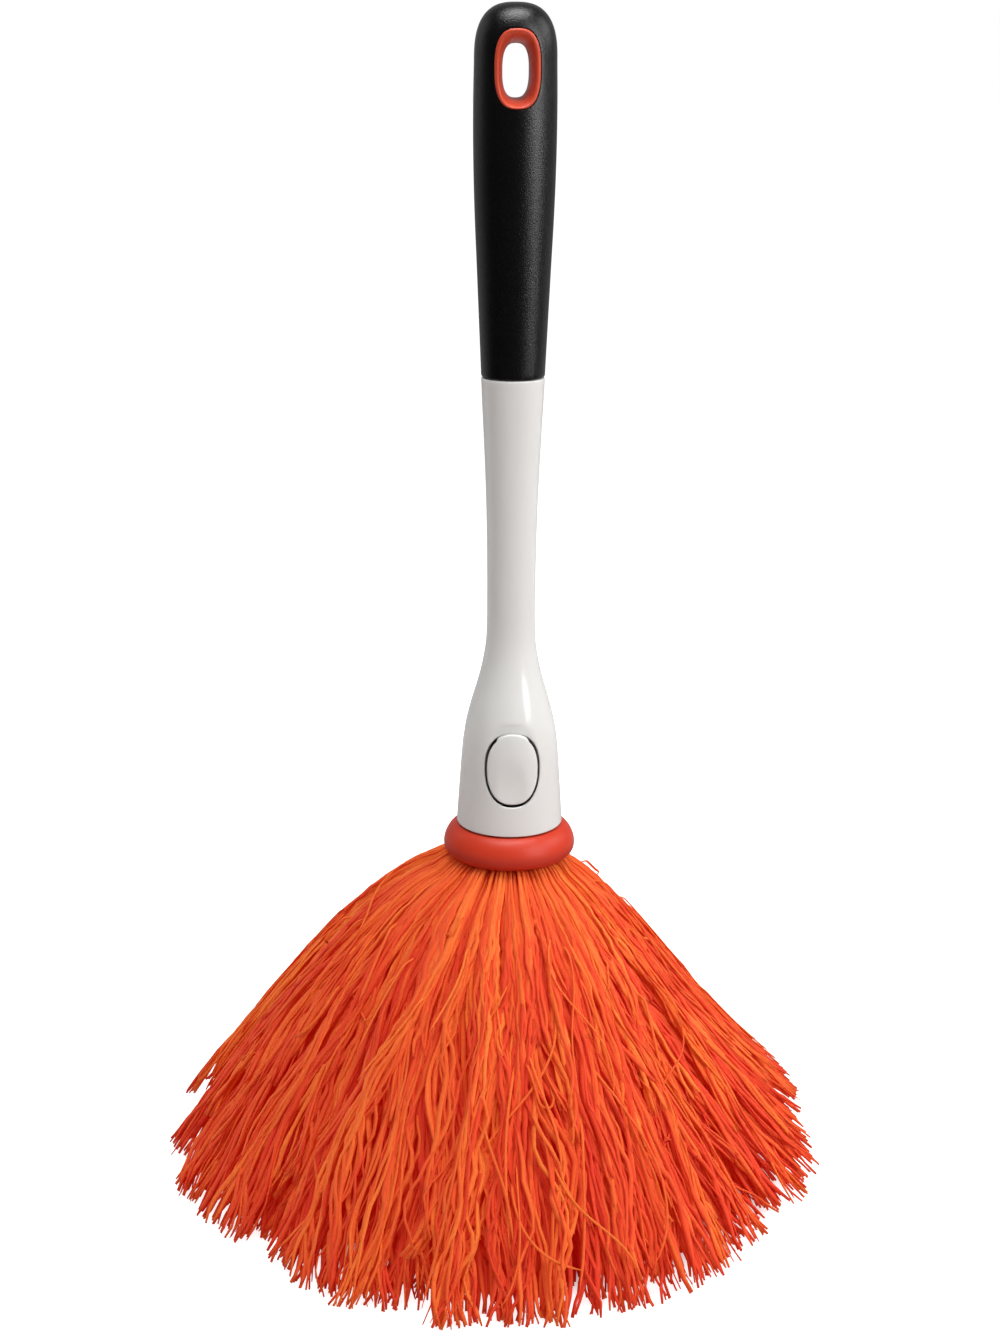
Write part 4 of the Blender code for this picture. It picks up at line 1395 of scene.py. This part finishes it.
def add_thread_maps(mesh, line, faces, shade, lanes_deep):
    """Two numbers on each point, and two maps: a lane for each thread, and lengths along it."""
    threads, points = line.shape[:2]
    t = np.broadcast_to(np.linspace(0, 1, points)[None, :, None], (threads, points, 4))
    for name, values in (
        ("along", t), ("shade", np.broadcast_to(shade[:, :, None], (threads, points, 4)))
    ):
        attribute = mesh.attributes.new(name, "FLOAT", "POINT")
        attribute.data.foreach_set("value", values.astype(np.float32).ravel())
    length = np.linalg.norm(np.diff(line, axis=1), axis=2).sum(axis=1)
    thread, row, corner = np.unravel_index(faces, (threads, points, 4))
    is_cap = (row == row[:, :1]).all(axis=1)
    around = corner / 4.0
    around[(corner == 0) & (corner.max(axis=1, keepdims=True) == 3) & ~is_cap[:, None]] = 1.0
    down = row / (points - 1)
    lanes_wide = -(-threads // lanes_deep)
    lane_u = (thread % lanes_wide + 0.1 + 0.8 * around) / lanes_wide
    lane_v = (thread // lanes_wide + 0.02 + 0.96 * down) / lanes_deep
    for name, u, v in (
        ("OFBake", lane_u, lane_v), ("strand", around + thread * 0.37, down * length[thread])
    ):
        layer = mesh.uv_layers.new(name=name)
        layer.uv.foreach_set("vector", np.stack([u, v], axis=-1).astype(np.float32).ravel())


print("thread helpers ready")

# %% Points on the skirt
def skirt_place(t, tier, depth, turn, sway, lift):
    """Points on a tier's curves, shifted sideways and off the skirt, and its outward side."""
    radius, height = skirt_curve(t, tier, depth, turn)
    slope_r, slope_z = np.gradient(radius, axis=1), np.gradient(height, axis=1)
    size = np.hypot(slope_r, slope_z)
    out_r, out_z = -slope_z / size, slope_r / size
    radius, height = radius + out_r * lift, height + out_z * lift
    turn = turn + sway / radius
    point = np.stack([radius * np.sin(turn), -radius * np.cos(turn), height], axis=-1)
    outward = np.stack([out_r * np.sin(turn), -out_r * np.cos(turn), out_z], axis=-1)
    return point, outward


print("skirt_place ready")

# %% [markdown]
# ## Wisps, as the strands really hang
#
# Seen close, the skirt is made of wisps: five to ten strips that cling together and end in one
# pointed tip, like a flame or a wet brush. Some wisps are shorter and lie on top, so tips show all
# over the skirt and not only at its hem. The numbers below are drawn for each wisp first, then for
# each strip in it. At the root, the stitches of the tape gather the strips into even bundles.

# %% Wisps of one tier
short_share, raised_hem = 0.30, 0.050


def draw_wisps(pick, count):
    """One random row for each wisp: where it starts, how deep it lies, how it ends and bends."""
    short = pick.uniform(0, 1, count) < short_share
    cut = np.where(
        short, pick.uniform(0.50, 0.96, count), 1 - np.abs(pick.normal(0, 0.006, count))
    )
    depth = pick.uniform(0, 1, count) ** 1.5
    turn = 2 * np.pi * (np.arange(count) + pick.uniform(0, 1, count)) / count
    cut *= 1 - raised_hem * ((1 + np.sin(turn)) / 2) ** 4

    def either(of_short, of_long):
        return np.where(short, pick.uniform(*of_short, count), pick.uniform(*of_long, count))

    return {
        "turn": turn,
        "depth": np.where(short, 0.08 + 0.42 * depth, depth),
        "cut": cut,
        "on_top": np.where(short, 1.0, 0.0),
        "gather": either((0.55, 0.95), (0.10, 0.55)),
        "closes": cut * either((0.25, 0.50), (0.60, 0.85)),
        "bend": pick.normal(0, 1, count),
        "tousle": np.where(pick.uniform(0, 1, count) < 0.45, pick.uniform(-1, 1, count), 0.0),
        "twirl": pick.uniform(11, 22, count),
        "frizz": pick.uniform(0.4, 1.9, count),
        "pace": pick.uniform(7, 20, count),
        "start": pick.uniform(0, 2 * np.pi, count),
        "lift": pick.normal(0, 1, count),
        "shade": pick.normal(0, 1, count),
    }


def middle_of(turn, parts):
    """The middle of the part of a full turn in which a turn lies."""
    return (np.floor(turn / (2 * np.pi) * parts) + 0.5) * 2 * np.pi / parts


def gathered(t, turn, outer, wisp, locks, bundles):
    """Where strips go sideways: to their wisp, the wisp to its lock, and roots to a stitch."""
    closing = wisp["gather"] * outer * ease(t, wisp["closes"], wisp["cut"])
    towards_lock = 0.30 * outer * ease(t, 0.15, 0.7) * (1 - 0.8 * ease(t, 0.75, 1))
    towards_stitch = 0.62 * ease(t, 0.010, 0.045) * (1 - ease(t, 0.05, 0.20))
    pulled = turn + (wisp["turn"] - turn) * closing
    pulled = pulled + (middle_of(wisp["turn"], locks) - wisp["turn"]) * towards_lock
    return pulled + (middle_of(turn, bundles) - turn) * towards_stitch


print("wisp helpers ready")

# %% Strips of one tier
kinks = ((18, 34, 0.00062), (36, 58, 0.00040))  # slowest and fastest pace, size


def tier_strips(pick, tier, wisps, strips_each, points, locks, bundles):
    """Middle lines of a tier's strips, with outward sides, start turns, shades and t."""
    drawn = draw_wisps(pick, wisps)
    wisp = {name: np.repeat(values, strips_each)[:, None] for name, values in drawn.items()}
    shape = (wisps * strips_each, 1)
    turn = wisp["turn"] + pick.uniform(-1.5, 1.5, shape) * 2 * np.pi / wisps
    depth = np.clip(wisp["depth"] + pick.normal(0, 0.05, shape), 0, 1)
    outer = 1 - 0.7 * depth
    t = wisp["cut"] * (1 - np.abs(pick.normal(0, 0.007, shape)))
    t = t * np.linspace(0, 1, points)[None, :] ** 1.12
    stray = pick.uniform(0, 1, shape) < 0.05
    # sideways: gathering, shared waves, a bend of the wisp, curls, and kinks of the strip
    sway = gathered(t, turn, outer, wisp, locks, bundles) - turn
    sway = sway * skirt_curve(t, tier, depth, turn)[0]
    sway += 0.0024 * drift(turn, t) * ease(t, 0.1, 0.9) * (1 - 0.75 * ease(t, 0.65, 1))
    sway += 0.0012 * part(turn, t) * ease(t, 0.1, 0.6) * (1 - 0.6 * ease(t, 0.75, 1))
    sway += 0.0012 * np.sin(wisp["pace"] * t + wisp["start"]) * ease(t, 0.12, 0.6)
    sway += 0.0026 * outer * wisp["bend"] * ease(t, 0.5 * wisp["cut"], wisp["cut"]) ** 1.5
    tousle = wisp["tousle"] * pick.uniform(0.4, 1.4, shape)
    twirl = wisp["twirl"] * t + wisp["start"] + pick.normal(0, 0.35, shape)
    sway += 0.0036 * tousle * np.sin(twirl) * ease(t, 0.32, 0.8)
    sway += 0.0024 * pick.normal(0, 1, shape) * ease(t / t[:, -1:], 0.86, 1.04)
    sway += np.where(stray, 0.0060, 0.0012) * pick.normal(0, 1, shape) * ease(t, 0.35, 1)
    for slowest, fastest, size in kinks:
        pace, start = pick.uniform(slowest, fastest, shape), pick.uniform(0, 2 * np.pi, shape)
        kink = size * wisp["frizz"] * pick.uniform(0.4, 1.5, shape)
        sway += kink * np.sin(pace * t + start) * ease(t, 0.10, 0.5) * (0.85 + 0.5 * t)
    # off the skirt: shared heaves, wisps that lie on top, tips that stand off, and small waves
    lift = 0.0005 * heave(turn, t) * ease(t, 0.08, 0.6)
    lift += (0.0003 * wisp["lift"] + 0.0003 * wisp["on_top"]) * ease(t, 0.2, 0.6)
    lift += 0.0004 * np.abs(wisp["tousle"]) * ease(t, 0.3, 0.7)
    lift += 0.0007 * pick.normal(0, 1, shape) * ease(t / t[:, -1:], 0.88, 1.02)
    lift += np.where(stray, 0.0004, 0.00020) * pick.normal(0, 1, shape) * ease(t, 0.1, 0.5)
    pace, start = pick.uniform(16, 40, shape), pick.uniform(0, 2 * np.pi, shape)
    lift += 0.00025 * np.sin(pace * t + start) * ease(t, 0.15, 0.5)
    sway += pick.normal(0, 0.00017, t.shape) * ease(t, 0.08, 0.3)
    lift += pick.normal(0, 0.00010, t.shape) * ease(t, 0.08, 0.3)
    if tier == 0:  # the roots of the top tier bulge out over the tape
        lift += 0.0029 * (1 - depth) * ease(t, 0.010, 0.028) * (1 - ease(t, 0.03, 0.13))
    line, outward = skirt_place(t, tier, depth, turn, sway, lift)
    # The shade is partly the dye, which varies by wisp and strip, and partly painted light and
    # shade: deeper strands are darkened, and wisps on top and heaved strands are lightened.
    shade = 0.62 + 0.11 * wisp["shade"] + 0.10 * wisp["on_top"] + pick.normal(0, 0.11, shape)
    shade = shade - 0.42 * depth * (1 - 0.55 * ease(t, 0.7, 1))
    shade = shade + 0.06 * np.sin(pace * t) + 0.05 * heave(turn, t)
    return line, outward, turn[:, 0], np.clip(shade, 0, 1), t


print("tier_strips ready")

# %% Width and twist of the strips
strip_half_width, strip_half_thickness = 0.00056, 0.00022


def strip_widths(pick, t):
    """Half widths, half thicknesses and twists: full in the middle, slimmer at root and tip."""
    shape = (len(t), 1)
    body = pick.uniform(0.75, 1.25, shape) * (0.50 + 0.50 * ease(t, 0.02, 0.25))
    body = body * (1 + pick.normal(0, 0.09, t.shape))
    body = body * (1 + 0.18 * np.sin(pick.uniform(20, 55, shape) * t + pick.uniform(0, 6, shape)))
    tip = 1 - 0.40 * ease(t / t[:, -1:], pick.uniform(0.90, 0.97, shape), 1)
    twist = pick.normal(0, 0.35, shape) + pick.normal(0, 0.8, shape) * t
    return strip_half_width * body * tip, strip_half_thickness * body * tip, twist


print("strip_widths ready")

# %% Strand pieces
tier_plans = (
    # CAD node, wisps, strips in each, points, locks, bundles, pieces round the skirt, material
    ("strands_top_tier", 455, 8, 40, 90, 84,
     ("front", "front_right", "back_right", "back", "back_left", "front_left"), outer_fibre),
    ("strands_upper_tier", 200, 7, 27, 66, 70, ("front", "back"), outer_fibre),
    ("strands_lower_tier", 110, 6, 21, 50, 60, ("round",), shaded_inner_fibre),
    ("strands_bottom_tier", 60, 6, 18, 36, 50, ("round",), shaded_inner_fibre),
)
tier_words = ("top", "upper", "lower", "bottom")
for tier, (node, *plan, sides, material) in enumerate(tier_plans):
    line, outward, turn, shade, t = tier_strips(pick, tier, *plan)
    half_width, half_thick, twist = strip_widths(pick, t)
    sector = np.floor((turn / (2 * np.pi) * len(sides) + 0.5) % len(sides)).astype(int)
    for number, side in enumerate(sides):
        mine = sector == number
        piece = thread_mesh(
            f"{tier_words[tier]}_strands_{side}", line[mine], outward[mine], half_width[mine],
            half_thick[mine], twist[mine], shade[mine], material,
        )
        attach(piece, "head")
        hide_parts(node)
        skirt_pieces.objects.link(piece)
        print(piece.name, len(piece.data.polygons), "faces")

# %% [markdown]
# ## Header tapes
#
# The strips are sewn to a tape, and the tape is wound on the plug's spool, one tape for each tier.
# A tape is one long band, so it is a single thread of the same kind, as wide as the tape is high,
# on a spiral line from the spool to the roots of the strands. A last narrow band binds the edge of
# the plug's flange, so that no white plastic shows between the roots under the collar. The tapes
# and the band are dark: painted shade under the collar.

# %% Wind the tapes
# The tapes and the binding take low shades of the tape's dark colour: painted shade under the
# collar.
tape_turns, tape_points, tape_inner_radius, tape_shade = 6, 432, 0.0096, 0.45
binding_turns, binding_points, binding_half_height, binding_shade = 2, 288, 0.0009, 0.1
binding_gap, binding_reach, binding_drop = 0.0003, 0.0009, 0.0003
wind_slack = 0.86


def wind_band(name, node, turns, points, inner_radius, outer_radius, z, half_height, shade):
    """A flat band wound on a spiral between two radii."""
    wound = np.linspace(0, 1, points)[None, :]
    half_thick = (outer_radius - inner_radius) / turns / 2 * wind_slack
    turn = 2 * np.pi * turns * wound
    radius = inner_radius + (outer_radius - half_thick - inner_radius) * wound
    outward = np.stack([np.sin(turn), -np.cos(turn), 0 * wound], axis=-1)
    line = outward * radius[..., None] + np.array([0, 0, z])
    ones = np.ones_like(wound)
    band = thread_mesh(
        name, line, outward, ones * half_height, ones * half_thick, 0 * ones, shade * ones,
        shaded_tape_fibre, 1,
    )
    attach(band, "head")
    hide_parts(node)


for tier, (node, *_) in enumerate(tier_plans):
    wind_band(
        f"{tier_words[tier]}_header_tape", node, tape_turns, tape_points, tape_inner_radius,
        tape_radius, first_tape_z - tier * tape_pitch, 0.47 * tape_height, tape_shade,
    )
wind_band(
    "flange_binding", "strands_top_tier", binding_turns, binding_points,
    flange_radius + binding_gap, flange_radius + binding_reach,
    flange_z - flange_thickness / 2 - binding_drop, binding_half_height, binding_shade,
)
print("header tapes:", len(tier_plans))

# %% [markdown]
# ## Loose threads and curls
#
# A used skirt has threads that have worked loose: some cross their neighbours in long arcs, and
# a few end in small curls. Each is a walk over the skirt's surface that starts under the strands,
# comes up, and turns by a curvature that changes along it. A short stretch of strong curvature
# makes the curl.

# %% Walks over the skirt
skirt_line_length, start_depth, rest_height = 0.152, 0.0025, 0.0010


def loose_lines(pick, count, points, length, curl_radius, bending, lift_size):
    """Walks over the outer skirt. curl_radius is None for threads that only bend."""
    shape = (count, 1)
    t_start = pick.uniform(0.15, 0.72, shape)
    room = (0.95 - t_start) * skirt_line_length
    step = np.minimum(pick.uniform(*length, shape), room) / (points - 1)
    s = np.linspace(0, 1, points)[None, :]
    bend = pick.normal(0, bending, shape) * np.sin(
        pick.uniform(2, 6, shape) * s + pick.uniform(0, 2 * np.pi, shape)
    )
    if curl_radius:
        radius = pick.uniform(*curl_radius, shape)
        middle = pick.uniform(0.55, 0.8, shape)
        reach = pick.uniform(1.0, 2.7, shape) * radius / (step * (points - 1))
        side = np.sign(pick.uniform(-1, 1, shape))
        bend = bend + side / radius * ease(1 - np.abs(s - middle) / reach, 0, 0.35)
    heading = pick.normal(0, 0.25, shape) + np.cumsum(bend * step, axis=1)
    down = np.cumsum(np.cos(heading) * step, axis=1)
    sideways = np.cumsum(np.sin(heading) * step, axis=1)
    turn = pick.uniform(0, 2 * np.pi, shape)
    lift = rest_height + np.abs(pick.normal(0, lift_size, shape))
    lift = -start_depth + (lift + start_depth) * ease(s, 0, 0.25)
    return turn, t_start + down / skirt_line_length, sideways, lift


print("loose_lines ready")

# %% Loose threads
loose_points, loose_half_width, loose_half_thickness = 44, 0.00042, 0.00024
loose_plans = (
    # count, shortest and longest, smallest and largest curl, bending, lift
    (54, (0.025, 0.065), None, 34, 0.0006),
    (12, (0.022, 0.036), (0.0012, 0.0026), 12, 0.0003),
)
s = np.linspace(0, 1, loose_points)[None, :]
loose = []
for count, *plan in loose_plans:
    turn, t, sideways, lift = loose_lines(pick, count, loose_points, *plan)
    line, outward = skirt_place(t, 0, 0.0, turn, sideways, lift)
    body = (1 - 0.7 * ease(s, 0.88, 1)) * pick.uniform(0.6, 1.0, (count, 1))
    shade = np.clip(pick.normal(0.80, 0.10, (count, 1)) + 0 * t, 0, 1)
    twist = pick.normal(0, 0.5, (count, 1)) + 0 * t
    widths = loose_half_width * body, loose_half_thickness * body
    loose.append((line, outward, *widths, twist, shade))
joined = [np.concatenate(pair) for pair in zip(*loose)]
loose_threads = thread_mesh("loose_threads", *joined, outer_fibre, 1)
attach(loose_threads, "head")
print(loose_threads.name, len(loose_threads.data.polygons), "faces")

# %% [markdown]
# ## What lies inside
#
# The core, the washer and the screw are hidden until the head comes off or the duster is turned
# over. Their CAD solids have the right shapes and stay, with real finishes: moulded grey plastic,
# and on the screw brushed zinc.

# %% Finishes of the hidden pieces
zinc, tree, shader = start_material("zinc_steel")
brushing = place_group(tree, moulded_grain, Grain_Size=0.0002, Mottle_Size=0.003)
tint = mix_colours(tree, brushing["Mottle"], (0.50, 0.51, 0.53, 1), (0.66, 0.66, 0.65, 1))
for socket, value in (
    ("Metallic", 1),
    ("Base Color", tint),
    ("Roughness", maths(tree, "MULTIPLY", brushing["Height"], 0.45)),
):
    plug(tree, value, shader.inputs[socket])
for node, material in (
    ("grip_core", core_grey), ("retainer_washer", core_grey), ("retainer_screw", zinc)
):
    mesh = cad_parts[node].data
    mesh.materials.clear()
    mesh.materials.append(material)
print("hidden pieces finished:", 3)

# %% [markdown]
#
# The soft strands may stand a little proud of the CAD box. Both boxes are printed below.

# %% Print both boxes
low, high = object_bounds()
for name, size in (("CAD", cad_high - cad_low), ("visual", high - low)):
    print(name, "box", [round(v, 4) for v in size], "m")
